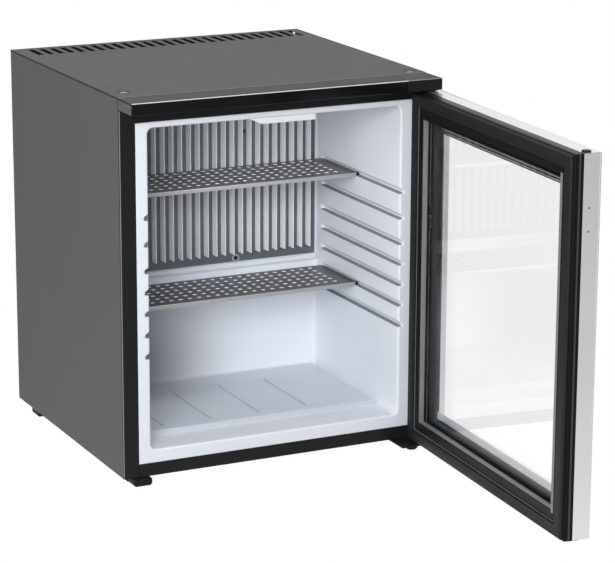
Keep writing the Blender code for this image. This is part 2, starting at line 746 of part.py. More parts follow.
def liner():
    """One moulded shell: front flange, rounded edge, walls, fillets, shelf grooves and raised floor."""
    flange_half = HALF - STILE_WIDTH - GAP
    flange_low = FOOT_HEIGHT + BOTTOM_RAIL_HEIGHT + GAP
    flange_high = TRIM_LOW - TOP_RAIL_HEIGHT - GAP
    loops = [loop_points(flange_half, flange_low, flange_high, LINER_WALL, 0)]
    for step in range(2):
        angle = math.pi / 2 * step / 2
        grow = LINER_EDGE * (1 - math.sin(angle))
        y = LINER_EDGE * (1 - math.cos(angle))
        loops.append(
            loop_points(OPENING_HALF + grow, OPENING_LOW - grow, OPENING_HIGH + grow, LINER_CORNER + grow, y)
        )
    loops += liner_loops(0, LINER_EDGE)
    shell = lofted("liner", "white_plastic", loops, capped=(-1,))
    back_face = max(shell.data.polygons, key=lambda face: face.center.y)
    if back_face.normal.y > 0:
        shell.data.flip_normals()
    solid = shell.modifiers.new("wall", "SOLIDIFY")
    solid.thickness = LINER_WALL
    solid.offset = -1
    solid.use_even_offset = True
    outer = GROOVE_HEIGHT / 2 + LINER_WALL
    start = OPENING_HALF + LINER_WALL / 2
    depth = GROOVE_DEPTH + LINER_WALL
    join(shell, groove_row("groove_walls", LINER_WALL / 2, start, depth, GROOVE_END + LINER_WALL, outer))
    inner = GROOVE_HEIGHT / 2
    start = OPENING_HALF - LINER_WALL
    cut(shell, groove_row("grooves", -LINER_WALL, start, GROOVE_DEPTH, GROOVE_END, inner))
    half = OPENING_HALF - PLATFORM_SIDE_GAP
    platform_top = OPENING_LOW + PLATFORM_RISE
    half_wall = LINER_WALL / 2
    centre_y = LINER_DEPTH - LINER_BACK_FILLET
    centre_z = OPENING_LOW + LINER_BACK_FILLET
    platform = [(PLATFORM_FRONT, OPENING_LOW - half_wall), (PLATFORM_FRONT, platform_top)]
    platform.append((LINER_DEPTH + half_wall, platform_top))
    for step in range(3):
        angle = math.pi / 2 * step / 2
        reach = LINER_BACK_FILLET + half_wall
        platform.append((centre_y + reach * math.cos(angle), centre_z - reach * math.sin(angle)))
    join(shell, extrusion("platform", None, platform, "YZ", (-half, half)))
    hollow_half = half - LINER_WALL
    hollow_back = LINER_DEPTH - LINER_BACK_FILLET
    hollow = (
        (-hollow_half, hollow_half), (PLATFORM_FRONT + LINER_WALL, hollow_back),
        (OPENING_LOW - 2 * LINER_WALL, platform_top - LINER_WALL),
    )
    cut(shell, block("platform_hollow", None, *hollow))
    lines = []
    for index in range(DRAIN_GROOVE_COUNT):
        x = DRAIN_GROOVE_FIRST + index * DRAIN_GROOVE_PITCH
        span_x = (x - DRAIN_GROOVE_WIDTH / 2, x + DRAIN_GROOVE_WIDTH / 2)
        span_y = (DRAIN_GROOVE_FRONT, DRAIN_GROOVE_FRONT + DRAIN_GROOVE_LENGTH)
        lines.append((span_x, span_y, (platform_top - DRAIN_GROOVE_DEPTH, platform_top + LINER_WALL)))
    cut(shell, block_row("drain_grooves", lines))
    cut(shell, cold_block_window("liner_window"))
    cut(shell, drain_hole("liner_drain_hole", LINER_DEPTH))


def cold_block_window(name):
    half = COLD_BLOCK_WIDTH / 2 + GAP
    return block(
        name, None, (COIL_LEFT - half, COIL_LEFT + half), (LINER_DEPTH - LINER_WALL, LINER_DEPTH + 2 * LINER_WALL),
        (COLD_LOW + PIPE_BEND - GAP, COLD_HIGH - PIPE_BEND + GAP),
    )


def insulation():
    """Foam that fills the walls between the liner and the steel skins."""
    foam = block(
        "insulation", "foam", (-FOAM_HALF, FOAM_HALF), (INSIDE_FRONT, BACK_PANEL_Y - GAP),
        (FOOT_HEIGHT + SHEET + GAP, COVER_LOW - GAP),
    )
    room = LINER_WALL + 3 * GAP
    front = LINER_WALL + LINER_EDGE
    cut(foam, lofted("liner_room", None, liner_loops(room, front), capped=(0, -1)))
    depth = GROOVE_DEPTH + room
    height = GROOVE_HEIGHT / 2 + room
    cut(foam, groove_row("groove_room", front, OPENING_HALF, depth, GROOVE_END + room, height))
    side = COLD_BLOCK_WIDTH / 2 + COLD_CHANNEL
    reach = PIPE_RADIUS + COLD_CHANNEL
    cold = (
        (COIL_LEFT - side, COIL_LEFT + side), (LINER_DEPTH, BACK_PANEL_Y + SHEET),
        (COLD_LOW - reach, COLD_HIGH + reach),
    )
    cut(foam, block("cold_channel", None, *cold))
    middle = (LINER_DEPTH + BACK_PANEL_Y) / 2
    length = BACK_PANEL_Y - LINER_DEPTH + 4 * LINER_WALL
    cut(foam, drum("foam_drain_hole", None, DRAIN_RADIUS + GAP, (DRAIN_X, middle, DRAIN_Z), length, axis="Y"))


def evaporator():
    """Extruded aluminium plate with a comb of upright fins."""
    half = EVAPORATOR_HALF
    root = EVAPORATOR_FACE + FIN_ROOT
    tip = EVAPORATOR_FACE - FIN_DEPTH
    rear = EVAPORATOR_BACK - FIN_ROOT
    comb = [(FIN_ROOT - half, rear), (half - FIN_ROOT, rear), (half - FIN_ROOT, root)]
    for index in reversed(range(FIN_COUNT)):
        x = (index - (FIN_COUNT - 1) / 2) * FIN_PITCH
        right, left = x + FIN_THICKNESS / 2, x - FIN_THICKNESS / 2
        comb += [(right, root), (right, tip), (left, tip), (left, root)]
    comb.append((FIN_ROOT - half, root))
    plate = block(
        "evaporator_plate", "fin_aluminium", (-half, half), (EVAPORATOR_FACE, EVAPORATOR_BACK),
        (EVAPORATOR_LOW, EVAPORATOR_HIGH),
    )
    join(plate, extrusion("fins", None, comb, "XY", (FIN_LOW, EVAPORATOR_HIGH - FIN_ROOT)))
    pad_half = half - EVAPORATOR_PAD_SIDE_MARGIN
    pad = (
        (-pad_half, pad_half), (EVAPORATOR_BACK - FIN_ROOT, EVAPORATOR_BACK + EVAPORATOR_PAD),
        (FIN_LOW + EVAPORATOR_PAD_MARGIN, EVAPORATOR_HIGH - EVAPORATOR_PAD_MARGIN),
    )
    join(plate, block("plate_pad", None, *pad))
    cut(plate, drain_hole("plate_drain_hole", EVAPORATOR_FACE))
    screw_x = EVAPORATOR_SCREW_GAP * FIN_PITCH
    screw_z = EVAPORATOR_HIGH - EVAPORATOR_SCREW_DROP
    head = EVAPORATOR_SCREW_HEAD
    profile = [(0, head / 2), (head / 2, head / 2), (head, head / 6), (head, 0), (0, 0)]
    screw = turned(
        "evaporator_screw", "zinc", profile, (screw_x, EVAPORATOR_FACE - GAP, screw_z), steps=12
    )
    screw.rotation_euler = (math.pi / 2, 0, 0)
    gutter = [
        (GUTTER_FRONT, EVAPORATOR_LOW), (GUTTER_FRONT, GUTTER_LOW), (LINER_DEPTH - GAP, GUTTER_LOW),
        (LINER_DEPTH - GAP, EVAPORATOR_LOW - GAP),
        (LINER_DEPTH - GAP - GUTTER_WALL, EVAPORATOR_LOW - GAP),
        (LINER_DEPTH - GAP - GUTTER_WALL, GUTTER_LOW + GUTTER_WALL),
        (GUTTER_FRONT + GUTTER_WALL, GUTTER_LOW + GUTTER_WALL), (GUTTER_FRONT + GUTTER_WALL, EVAPORATOR_LOW),
    ]
    gutter_half = OPENING_HALF - LINER_BACK_FILLET - 2 * GAP
    extrusion("drip_gutter", "white_plastic", gutter, "YZ", (-gutter_half, gutter_half))


def drain():
    front = EVAPORATOR_FACE - GAP - DRAIN_FLANGE_THICKNESS
    length = BAY_FRONT + DRAIN_REACH - front
    flange = DRAIN_FLANGE_THICKNESS
    profile = [
        (DRAIN_BORE, 0), (DRAIN_BORE, length), (DRAIN_RADIUS, length), (DRAIN_RADIUS, flange),
        (DRAIN_FLANGE, flange), (DRAIN_FLANGE, 0),
    ]
    turned("drain_spout", "black_plastic", profile, (DRAIN_X, front, DRAIN_Z), axis="Y", ring=True, steps=12)
    knee = BAY_FRONT + DRAIN_REACH + HOSE_BEND
    start = BAY_FRONT + SHEET
    path = [vector(DRAIN_X, start, DRAIN_Z), vector(DRAIN_X, knee, DRAIN_Z), vector(DRAIN_X, knee, HOSE_LOW)]
    hose = tube("drain_hose", "rubber", rounded_path(path, HOSE_BEND), HOSE_RADIUS)
    path[0].y -= SHEET
    path[2].z -= SHEET
    cut(hose, tube("hose_bore", None, rounded_path(path, HOSE_BEND), HOSE_BORE))


def lamp():
    top = OPENING_HIGH - GAP
    low = OPENING_HIGH - LAMP_DROP
    section = [(LAMP_LEFT, top), (LAMP_LEFT + LAMP_CHAMFER, low), (LAMP_RIGHT, low), (LAMP_RIGHT, top)]
    rear = LAMP_FRONT + LAMP_LENGTH
    housing = extrusion("lamp_housing", "lamp_white", section, "XZ", (LAMP_FRONT, rear))
    left = LAMP_LEFT + LAMP_CHAMFER + LAMP_WALL
    right = LAMP_RIGHT - LAMP_WALL
    front = LAMP_FRONT + LAMP_WALL
    back = rear - LAMP_WALL
    recess = (left, right), (front, back), (low - LAMP_WALL, low + LAMP_RECESS)
    cut(housing, block("lamp_recess", None, *recess))
    lens_span = (left + GAP, right - GAP), (front + GAP, back - GAP)
    block("lamp_lens", "lamp_white", *lens_span, (low, low + LENS_THICKNESS))


def folded_sheet(name, finish, outline, height, folds):
    """A flat sheet whose named edges are folded down, as a surface that then gets its thickness."""
    bm = bmesh.new()
    verts = [bm.verts.new((x, y, height)) for x, y in outline]
    bm.faces.new(verts)
    for start, drop in folds:
        edge = bm.edges.get((verts[start], verts[(start + 1) % len(verts)]))
        made = bmesh.ops.extrude_edge_only(bm, edges=[edge])["geom"]
        moved = [item for item in made if isinstance(item, bmesh.types.BMVert)]
        bmesh.ops.translate(bm, vec=(0, 0, -drop), verts=moved)
    bmesh.ops.recalc_face_normals(bm, faces=bm.faces)
    bm.faces.ensure_lookup_table()
    if bm.faces[0].normal.z < 0:
        bmesh.ops.reverse_faces(bm, faces=bm.faces)
    obj = add_object(name, mesh_of(name, bm), finish)
    solid = obj.modifiers.new("sheet", "SOLIDIFY")
    solid.thickness = SHEET
    solid.offset = -1
    solid.use_even_offset = True
    return obj


def shelf(name, level):
    """A folded sheet with a grid of round holes. Its side flanges run in a pair of grooves."""
    low = level - GROOVE_HEIGHT / 2 + GAP
    top = low + SHELF_SIDE_HEIGHT
    half = OPENING_HALF + GROOVE_DEPTH - SHELF_SIDE_CLEARANCE
    lip = OPENING_HALF - SHELF_LIP_INSET
    rear = GROOVE_END - GAP
    notched = SHELF_FRONT + SHELF_NOTCH
    outline = [
        (-lip, SHELF_FRONT), (lip, SHELF_FRONT), (lip, notched), (half, notched), (half, rear), (lip, rear),
        (-lip, rear), (-half, rear), (-half, notched), (-lip, notched),
    ]
    folds = ((0, SHELF_FRONT_LIP), (3, SHELF_SIDE_HEIGHT), (5, SHELF_REAR_LIP), (7, SHELF_SIDE_HEIGHT))
    tray = folded_sheet(name, "shelf_steel", outline, top, folds)
    columns = 1 + int(2 * (lip - SHELF_HOLE_SIDE_MARGIN) / SHELF_HOLE_PITCH_X)
    rows = 1 + int((SHELF_DEPTH - SHELF_FIRST_ROW - SHELF_HOLE_REAR_MARGIN) / SHELF_HOLE_PITCH_Y)
    bm = bmesh.new()
    for column in range(columns):
        for row in range(rows):
            x = (column - (columns - 1) / 2) * SHELF_HOLE_PITCH_X
            y = SHELF_FRONT + SHELF_FIRST_ROW + row * SHELF_HOLE_PITCH_Y
            bmesh.ops.create_cone(
                bm, cap_ends=True, segments=SHELF_HOLE_SIDES, radius1=SHELF_HOLE / 2, radius2=SHELF_HOLE / 2,
                depth=4 * SHEET, matrix=Matrix.Translation((x, y, top)),
            )
    cut(tray, add_object(name + "_holes", mesh_of(name + "_holes", bm), None))


def door_loop(inset, y):
    """A rectangle set in from the door's outer edge."""
    return loop_points(HALF - inset, DOOR_LOW + inset, DOOR_HIGH - inset, 0, y)


def door_ring(name, finish, section):
    return lofted(name, finish, [door_loop(inset, y) for inset, y in section], ring=True)


def profile_section():
    """The aluminium door profile: outer wall with a shadow line, front plate, glazing lip and web."""
    wall = PROFILE_WALL
    top = INNER_FRAME_BACK - GAP
    line = DOOR_FRONT + PROFILE_LINE
    size = PROFILE_LINE_SIZE
    lip = PROFILE_LIP_INSET
    inside = DOOR_FRONT + wall
    web = PANE_INSET - GAP
    return [
        (0, top), (0, line + size), (size, line + size / 2), (size, line - size / 2), (0, line - size),
        (0, DOOR_FRONT + size), (size, DOOR_FRONT), (lip, DOOR_FRONT), (lip, OUTER_PANE_BACK - GAP),
        (lip - wall, OUTER_PANE_BACK - GAP), (lip - wall, inside), (web, inside), (web, top),
        (web - wall, top), (web - wall, inside), (wall + size, inside), (wall + size, line + size),
        (wall, line + size), (wall, top),
    ]


def door_profile(name, place):
    """Draws the section out along one side of the door and mitres both ends."""
    section = profile_section()
    bm = bmesh.new()
    start = bm.faces.new([bm.verts.new((inset, y, 0)) for inset, y in section])
    extruded = bmesh.ops.extrude_face_region(bm, geom=[start])
    far = {item for item in extruded["geom"] if isinstance(item, bmesh.types.BMVert)}
    for vert in bm.verts:
        inset, y = vert.co.x, vert.co.y
        end = 1 if vert in far else -1
        vert.co = place(inset, y, end)
    bmesh.ops.recalc_face_normals(bm, faces=bm.faces)
    ends = [face for face in bm.faces if len(face.verts) == len(section)]
    bmesh.ops.triangulate(bm, faces=ends)
    return add_object(name, mesh_of(name, bm), "satin_aluminium")


def door():
    """The shut door's pieces."""
    middle = (DOOR_LOW + DOOR_HIGH) / 2
    half_height = (DOOR_HIGH - DOOR_LOW) / 2
    pieces = []

    def upright(side):
        return lambda inset, y, end: (
            side * (HALF - inset), y, middle + end * (half_height - inset - MITRE_GAP)
        )

    def level(edge, side):
        return lambda inset, y, end: (end * (HALF - inset - MITRE_GAP), y, edge - side * inset)

    hinge_side = door_profile("door_profile_hinge_side", upright(1))
    free_side = door_profile("door_profile_free_side", upright(-1))
    top = door_profile("door_profile_top", level(DOOR_HIGH, 1))
    bottom = door_profile("door_profile_bottom", level(DOOR_LOW, -1))
    pieces += [hinge_side, free_side, top, bottom]
    for index, drop in enumerate(LOCK_HOLE_DROPS):
        place = (-HALF, -DOOR_CLEARANCE - LOCK_HOLE_DEPTH, DOOR_HIGH - drop)
        cut(free_side, drum(f"lock_hole_{index}", None, LOCK_HOLE, place, 4 * PROFILE_WALL, axis="X", sides=8))

    inner_frame = [
        (0, INNER_FRAME_BACK), (0, STEP_Y - REVEAL_ROUND), (REVEAL_ROUND, STEP_Y),
        (REVEAL_INSET - REVEAL_ROUND, STEP_Y), (REVEAL_INSET, STEP_Y - REVEAL_ROUND),
        (REVEAL_INSET, REVEAL_BACK), (PANE_INSET - GAP, REVEAL_BACK), (PANE_INSET - GAP, INNER_FRAME_BACK),
    ]
    pieces.append(door_ring("door_inner_frame", "black_plastic", inner_frame))
    face = -DOOR_CLEARANCE
    seat = face - GASKET_THICKNESS
    gasket = [
        (GASKET_OUTER_INSET, seat), (GASKET_OUTER_INSET, face - GASKET_CHAMFER),
        (GASKET_OUTER_INSET + GASKET_CHAMFER, face), (GASKET_INNER_INSET - GASKET_CHAMFER / 2, face),
        (GASKET_INNER_INSET, face - GASKET_CHAMFER / 2), (GASKET_INNER_INSET, seat),
    ]
    pieces.append(door_ring("door_gasket", "rubber", gasket))

    pane_x = (PANE_INSET - HALF, HALF - PANE_INSET)
    pane_z = (DOOR_LOW + PANE_INSET, DOOR_HIGH - PANE_INSET)
    inner_y = (INNER_PANE_BACK, INNER_PANE_BACK + INNER_PANE)
    pieces.append(block("glass_pane_inner", "glass", pane_x, inner_y, pane_z))
    pieces.append(block("glass_pane_outer", "glass", pane_x, (OUTER_PANE_BACK, OUTER_PANE_FACE), pane_z))
    near = INNER_PANE_BACK - GAP
    far = near - SPACER_DEPTH
    spacer = [
        (SPACER_OUTER_INSET, near), (SPACER_INNER_INSET, near), (SPACER_INNER_INSET, far),
        (SPACER_OUTER_INSET, far),
    ]
    pieces.append(door_ring("glass_spacer", "galvanised", spacer))
    return pieces + door_bushes(top, bottom)


def door_bushes(top, bottom):
    """Hinge bushes at the hinge side and blanking plugs at the free side, let into both level profiles."""
    pieces = []
    depth = BUSH_LENGTH - PIN_HEAD_HEIGHT
    for name, edge, up, profile in (("top", DOOR_HIGH, 1, top), ("bottom", DOOR_LOW, -1, bottom)):
        bush = [
            (0, -depth), (BUSH_BORE, -depth), (BUSH_BORE, GAP + BUSH_FLANGE_HEIGHT),
            (BUSH_FLANGE, GAP + BUSH_FLANGE_HEIGHT), (BUSH_FLANGE, GAP), (BUSH_RADIUS, GAP),
            (BUSH_RADIUS, -BUSH_LENGTH), (0, -BUSH_LENGTH),
        ]
        plug = [
            (0, GAP + PLUG_HEIGHT), (PLUG_RADIUS - PLUG_HEIGHT / 2, GAP + PLUG_HEIGHT),
            (PLUG_RADIUS, GAP + PLUG_HEIGHT / 2), (PLUG_RADIUS, GAP), (PLUG_STEM, GAP),
            (PLUG_STEM, -PLUG_LENGTH), (0, -PLUG_LENGTH),
        ]
        for kind, finish, shape, x, radius in (
            ("hinge_bush_", "black_plastic", bush, HINGE_X, BUSH_RADIUS),
            ("door_plug_", "black_plastic", plug, -HINGE_X, PLUG_STEM),
        ):
            piece = turned(kind + name, finish, shape, (x, HINGE_Y, edge))
            if up < 0:
                piece.rotation_euler = (math.pi, 0, 0)
            pieces.append(piece)
            hole = drum(
                f"{kind}{name}_hole", None, radius + GAP, (x, HINGE_Y, edge), 4 * PROFILE_WALL, sides=16
            )
            cut(profile, hole)
            pieces.append(hole)
    return pieces


def hinge_brackets():
    """Fixed hinge parts: a plate with a pin over the door, and a plate with a shouldered pin under it."""
    door_top = DOOR_HIGH + 2 * GAP + BUSH_FLANGE_HEIGHT
    y = (-BRACKET_REACH, -GAP)
    plate_top = door_top + BRACKET_THICKNESS
    upper = block("upper_hinge_bracket", "black_steel", (BRACKET_LEFT, BRACKET_RIGHT), y, (door_top, plate_top))
    leg_x = (BRACKET_LEFT, BRACKET_LEFT + BRACKET_LEG_WIDTH)
    leg_y = (-GAP - BRACKET_LEG_THICKNESS, -GAP)
    join(upper, block("bracket_leg", None, leg_x, leg_y, (door_top + GAP, HEIGHT - 2 * TRIM_WALL)))
    cut(upper, drum("upper_pin_hole", None, PIN_RADIUS + GAP, (HINGE_X, HINGE_Y, plate_top), 0.02))
    pin = [
        (0, PIN_HEAD_HEIGHT + GAP), (PIN_HEAD, PIN_HEAD_HEIGHT + GAP), (PIN_HEAD, GAP), (PIN_RADIUS, GAP),
        (PIN_RADIUS, DOOR_HIGH - PIN_ENGAGEMENT - plate_top), (0, DOOR_HIGH - PIN_ENGAGEMENT - plate_top),
    ]
    turned("upper_hinge_pin", "zinc", pin, (HINGE_X, HINGE_Y, plate_top))

    plate_top = FOOT_HEIGHT - GAP
    plate_low = plate_top - LOWER_BRACKET_THICKNESS
    y = (-BRACKET_REACH, LOWER_BRACKET_BACK)
    lower = block("lower_hinge_bracket", "black_steel", (BRACKET_LEFT, BRACKET_RIGHT), y, (plate_low, plate_top))
    cut(lower, drum("lower_pin_hole", None, PIN_RADIUS + GAP, (HINGE_X, HINGE_Y, plate_top), 0.02))
    shoulder = DOOR_LOW - 2 * GAP - BUSH_FLANGE_HEIGHT - plate_top
    top = DOOR_LOW + PIN_ENGAGEMENT - plate_top
    head = plate_low - GAP - plate_top
    pin = [
        (0, top), (PIN_RADIUS, top), (PIN_RADIUS, shoulder), (PIN_SHOULDER, shoulder), (PIN_SHOULDER, GAP),
        (PIN_RADIUS, GAP), (PIN_RADIUS, head), (PIN_HEAD, head), (PIN_HEAD, head - PIN_HEAD_HEIGHT),
        (0, head - PIN_HEAD_HEIGHT),
    ]
    turned("lower_hinge_pin", "zinc", pin, (HINGE_X, HINGE_Y, plate_top))
    radius = HINGE_FOOT_RADIUS
    height = plate_low - GAP
    foot = [(0, height), (radius, height), (radius, FOOT_BEVEL), (radius - FOOT_BEVEL, 0), (0, 0)]
    turned("foot_front_right", "rubber", foot, (HALF - HINGE_FOOT_INSET, HINGE_FOOT_Y, 0))


def feet():
    near = HALF - FOOT_INSET_X
    far = near - FOOT_SIZE
    rear = DEPTH - REAR_FOOT_SETBACK
    for name, side, front in (
        ("foot_front_left", -1, FRONT_FOOT_Y), ("foot_rear_left", -1, rear), ("foot_rear_right", 1, rear),
    ):
        span_x = sorted((side * near, side * far))
        foot = block(name, "rubber", span_x, (front, front + FOOT_SIZE), (0, FOOT_HEIGHT - GAP))
        bevel(foot, FOOT_BEVEL, 1)


def boiler():
    casing = [
        (0, BOILER_HIGH), (BOILER_RADIUS - BOILER_EDGE, BOILER_HIGH),
        (BOILER_RADIUS, BOILER_HIGH - BOILER_EDGE), (BOILER_RADIUS, BOILER_LOW + BOILER_EDGE),
        (BOILER_RADIUS - BOILER_EDGE, BOILER_LOW), (0, BOILER_LOW),
    ]
    body = turned("boiler_casing", "galvanised", casing, (BOILER_X, UNIT_Y, 0))
    element_x = BOILER_X - ELEMENT_OFFSET
    pocket = ELEMENT_LENGTH + GAP
    place = (element_x, UNIT_Y, BOILER_LOW)
    cut(body, drum("element_pocket", None, ELEMENT_RADIUS + GAP, place, 2 * pocket, sides=16))
    bottom = BOILER_LOW - ELEMENT_TAIL
    middle = (bottom + BOILER_LOW + ELEMENT_LENGTH) / 2
    length = ELEMENT_LENGTH + ELEMENT_TAIL
    drum("heating_element", "zinc", ELEMENT_RADIUS, (element_x, UNIT_Y, middle), length, sides=16)
    high = BOILER_HIGH - BOILER_EDGE
    span_x = (BOILER_X - SUPPORT_HEIGHT / 2, BOILER_X + SUPPORT_HEIGHT / 2)
    bracket = block(
        "boiler_bracket", "galvanised", span_x, (BAY_FRONT, UNIT_Y - BOILER_RADIUS / 2),
        (high - SUPPORT_HEIGHT - SUPPORT_WIDTH, high - SUPPORT_HEIGHT),
    )
    room = drum("casing_room", None, BOILER_RADIUS + GAP, (BOILER_X, UNIT_Y, high), 4 * SUPPORT_HEIGHT, sides=48)
    cut(bracket, room)


def absorber():
    length = VESSEL_RIGHT - VESSEL_LEFT
    dome = VESSEL_RADIUS / 2
    profile = [
        (0, length), (VESSEL_RADIUS - dome, length), (VESSEL_RADIUS - dome / 4, length - dome / 2),
        (VESSEL_RADIUS, length - dome), (VESSEL_RADIUS, dome), (VESSEL_RADIUS - dome / 4, dome / 2),
        (VESSEL_RADIUS - dome, 0), (0, 0),
    ]
    place = (VESSEL_LEFT, UNIT_Y, VESSEL_Z)
    turned("absorber_vessel", "painted_pipe", profile, place, axis="X")
    start = VESSEL_Z + VESSEL_RADIUS + GAP
    path = [vector(COIL_LEFT, UNIT_Y, start)]
    for turn in range(2 * COIL_TURN_PAIRS):
        z = COIL_LOW + turn * COIL_PITCH
        ends = (COIL_LEFT, COIL_RIGHT) if turn % 2 == 0 else (COIL_RIGHT, COIL_LEFT)
        path += [vector(ends[0], UNIT_Y, z), vector(ends[1], UNIT_Y, z)]
    path.append(vector(COIL_LEFT, UNIT_Y, COIL_TOP))
    bend = COIL_PITCH / 2 - 0.0002
    tube("absorber_coil", "painted_pipe", rounded_path(path, bend, 3), PIPE_RADIUS)
    low = FOOT_HEIGHT + SHEET + GAP
    top = VESSEL_Z - VESSEL_RADIUS - GAP
    cradle = [
        (CRADLE_LEFT, low), (CRADLE_LEFT + CRADLE_WALL, low), (CRADLE_LEFT + CRADLE_WALL, top - CRADLE_WALL),
        (CRADLE_RIGHT - CRADLE_WALL, top - CRADLE_WALL), (CRADLE_RIGHT - CRADLE_WALL, low),
        (CRADLE_RIGHT, low), (CRADLE_RIGHT, top), (CRADLE_LEFT, top),
    ]
    half = CRADLE_WIDTH / 2
    extrusion("vessel_cradle", "galvanised", cradle, "XZ", (UNIT_Y - half, UNIT_Y + half))


def cold_side():
    path = [
        vector(COIL_LEFT, UNIT_Y, COIL_TOP + GAP), vector(COIL_LEFT, UNIT_Y, COLD_LOW),
        vector(COIL_LEFT, COLD_PIPE_Y, COLD_LOW), vector(COIL_LEFT, COLD_PIPE_Y, COLD_HIGH),
        vector(COIL_LEFT, UNIT_Y, COLD_HIGH), vector(COIL_LEFT, UNIT_Y, CONDENSER_TAIL - GAP),
    ]
    tube("evaporator_pipe", "painted_pipe", rounded_path(path, PIPE_BEND), PIPE_RADIUS)
    half = COLD_BLOCK_WIDTH / 2
    block(
        "cold_block", "fin_aluminium", (COIL_LEFT - half, COIL_LEFT + half),
        (LINER_DEPTH, LINER_DEPTH + COLD_BLOCK_DEPTH), (COLD_LOW + PIPE_BEND, COLD_HIGH - PIPE_BEND),
    )


def condenser():
    high = CONDENSER_Z + CONDENSER_SLOPE
    path = [
        vector(CONDENSER_END, UNIT_Y, high), vector(COIL_LEFT, UNIT_Y, CONDENSER_Z + PIPE_BEND),
        vector(COIL_LEFT, UNIT_Y, CONDENSER_TAIL),
    ]
    path[0].z += PIPE_BEND
    finned = tube("condenser", "painted_pipe", rounded_path(path, PIPE_BEND), PIPE_RADIUS)
    half = CONDENSER_FIN_SIZE / 2
    fins = []
    middle = CONDENSER_Z + PIPE_BEND + CONDENSER_SLOPE / 2
    for index in range(1 + int(CONDENSER_FIN_SPAN / CONDENSER_FIN_PITCH)):
        x = CONDENSER_FIRST_FIN + index * CONDENSER_FIN_PITCH
        fins.append(((x, x + CONDENSER_FIN), (UNIT_Y - half, UNIT_Y + half), (middle - half, middle + half)))
    join(finned, block_row("condenser_fins", fins))
    entry = high + PIPE_BEND
    path = [
        vector(BOILER_X, UNIT_Y, BOILER_HIGH + GAP), vector(BOILER_X, UNIT_Y, entry),
        vector(CONDENSER_END + GAP, UNIT_Y, entry),
    ]
    tube("rectifier_tube", "painted_pipe", rounded_path(path, PIPE_BEND), PIPE_RADIUS)


def tray_and_box():
    tray = block(
        "evaporation_tray", "black_plastic", (TRAY_LEFT, TRAY_RIGHT), (BAY_FRONT, TRAY_REAR),
        (TRAY_LOW, TRAY_HIGH),
    )
    hollow = (
        (TRAY_LEFT + TRAY_WALL, TRAY_RIGHT - TRAY_WALL), (BAY_FRONT + TRAY_WALL, TRAY_REAR - TRAY_WALL),
        (TRAY_LOW + TRAY_WALL, TRAY_HIGH + TRAY_WALL),
    )
    cut(tray, block("tray_hollow", None, *hollow))
    box = block(
        "control_box", "black_plastic", (BOX_LEFT, BOX_RIGHT), (BAY_FRONT, BOX_REAR), (BOX_LOW, BOX_HIGH)
    )
    bevel(box, BOX_EDGE)
    place = ((BOX_LEFT + BOX_RIGHT) / 2, BOX_REAR, BOX_LOW + GLAND_RISE)
    join(box, drum("cord_gland", None, GLAND_RADIUS, place, 2 * GLAND_LENGTH, axis="Y", sides=16))
    cut(box, drum("gland_bore", None, GLAND_BORE, place, 4 * GLAND_LENGTH, axis="Y", sides=16))


def swing_open(pieces):
    """Hangs the door's pieces and their cutters on the hinge and turns them to the rest angle."""
    hinge = bpy.data.objects.new("door_hinge", None)
    PARTS.objects.link(hinge)
    hinge.location = (HINGE_X, HINGE_Y, 0)
    bpy.context.view_layer.update()
    inverse = hinge.matrix_world.inverted()
    for piece in pieces:
        piece.parent = hinge
        piece.matrix_parent_inverse = inverse
    hinge.rotation_euler.z = math.radians(DOOR_REST_ANGLE)
    return hinge


def centre_over_origin():
    """Moves everything so that the part's box is centred over the origin."""
    bpy.context.view_layer.update()
    graph = bpy.context.evaluated_depsgraph_get()
    low = [math.inf, math.inf]
    high = [-math.inf, -math.inf]
    for obj in PARTS.objects:
        if obj.type != "MESH":
            continue
        evaluated = obj.evaluated_get(graph)
        for vert in evaluated.data.vertices:
            place = evaluated.matrix_world @ vert.co
            for axis in range(2):
                low[axis] = min(low[axis], place[axis])
                high[axis] = max(high[axis], place[axis])
    shift = [-(low[axis] + high[axis]) / 2 for axis in range(2)]
    root = bpy.data.objects.new("cabinet_origin", None)
    PARTS.objects.link(root)
    for obj in list(PARTS.objects) + list(CUTTERS.objects):
        if obj != root and obj.parent is None:
            obj.parent = root
    root.location = (shift[0], shift[1], 0)
    bpy.context.view_layer.update()
    return shift


cabinet_panels()
top_cover()
front_frame()
front_trim()
liner()
insulation()
evaporator()
drain()
lamp()
LEVELS = groove_levels()
shelf("shelf_lower", LEVELS[LOWER_SHELF_GROOVE])
shelf("shelf_upper", LEVELS[UPPER_SHELF_GROOVE])
door_pieces = door()
for helper in CUTTERS.objects:
    if helper.name.startswith("lock_hole"):
        door_pieces.append(helper)
swing_open(door_pieces)
hinge_brackets()
feet()
boiler()
absorber()
cold_side()
condenser()
tray_and_box()
SHIFT = centre_over_origin()
print(f"shift {SHIFT[0]:.5f} {SHIFT[1]:.5f}")
print(f"door hinge at {HINGE_X + SHIFT[0]:.5f} {HINGE_Y + SHIFT[1]:.5f}")
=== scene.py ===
"""Looks of the glass-door minibar fridge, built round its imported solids.

Lengths are in metres. Most places are written in the cabinet's own frame: X from the middle of the width,
Y from the front frame's face to the back, Z from the floor. cabinet_point() carries them to the frame of the
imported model, and door_point() does so for places on the shut door.
"""

import json  # noqa: E402
import math  # noqa: E402

import bmesh  # noqa: E402
import bpy  # noqa: E402
from mathutils import Matrix, Vector  # noqa: E402

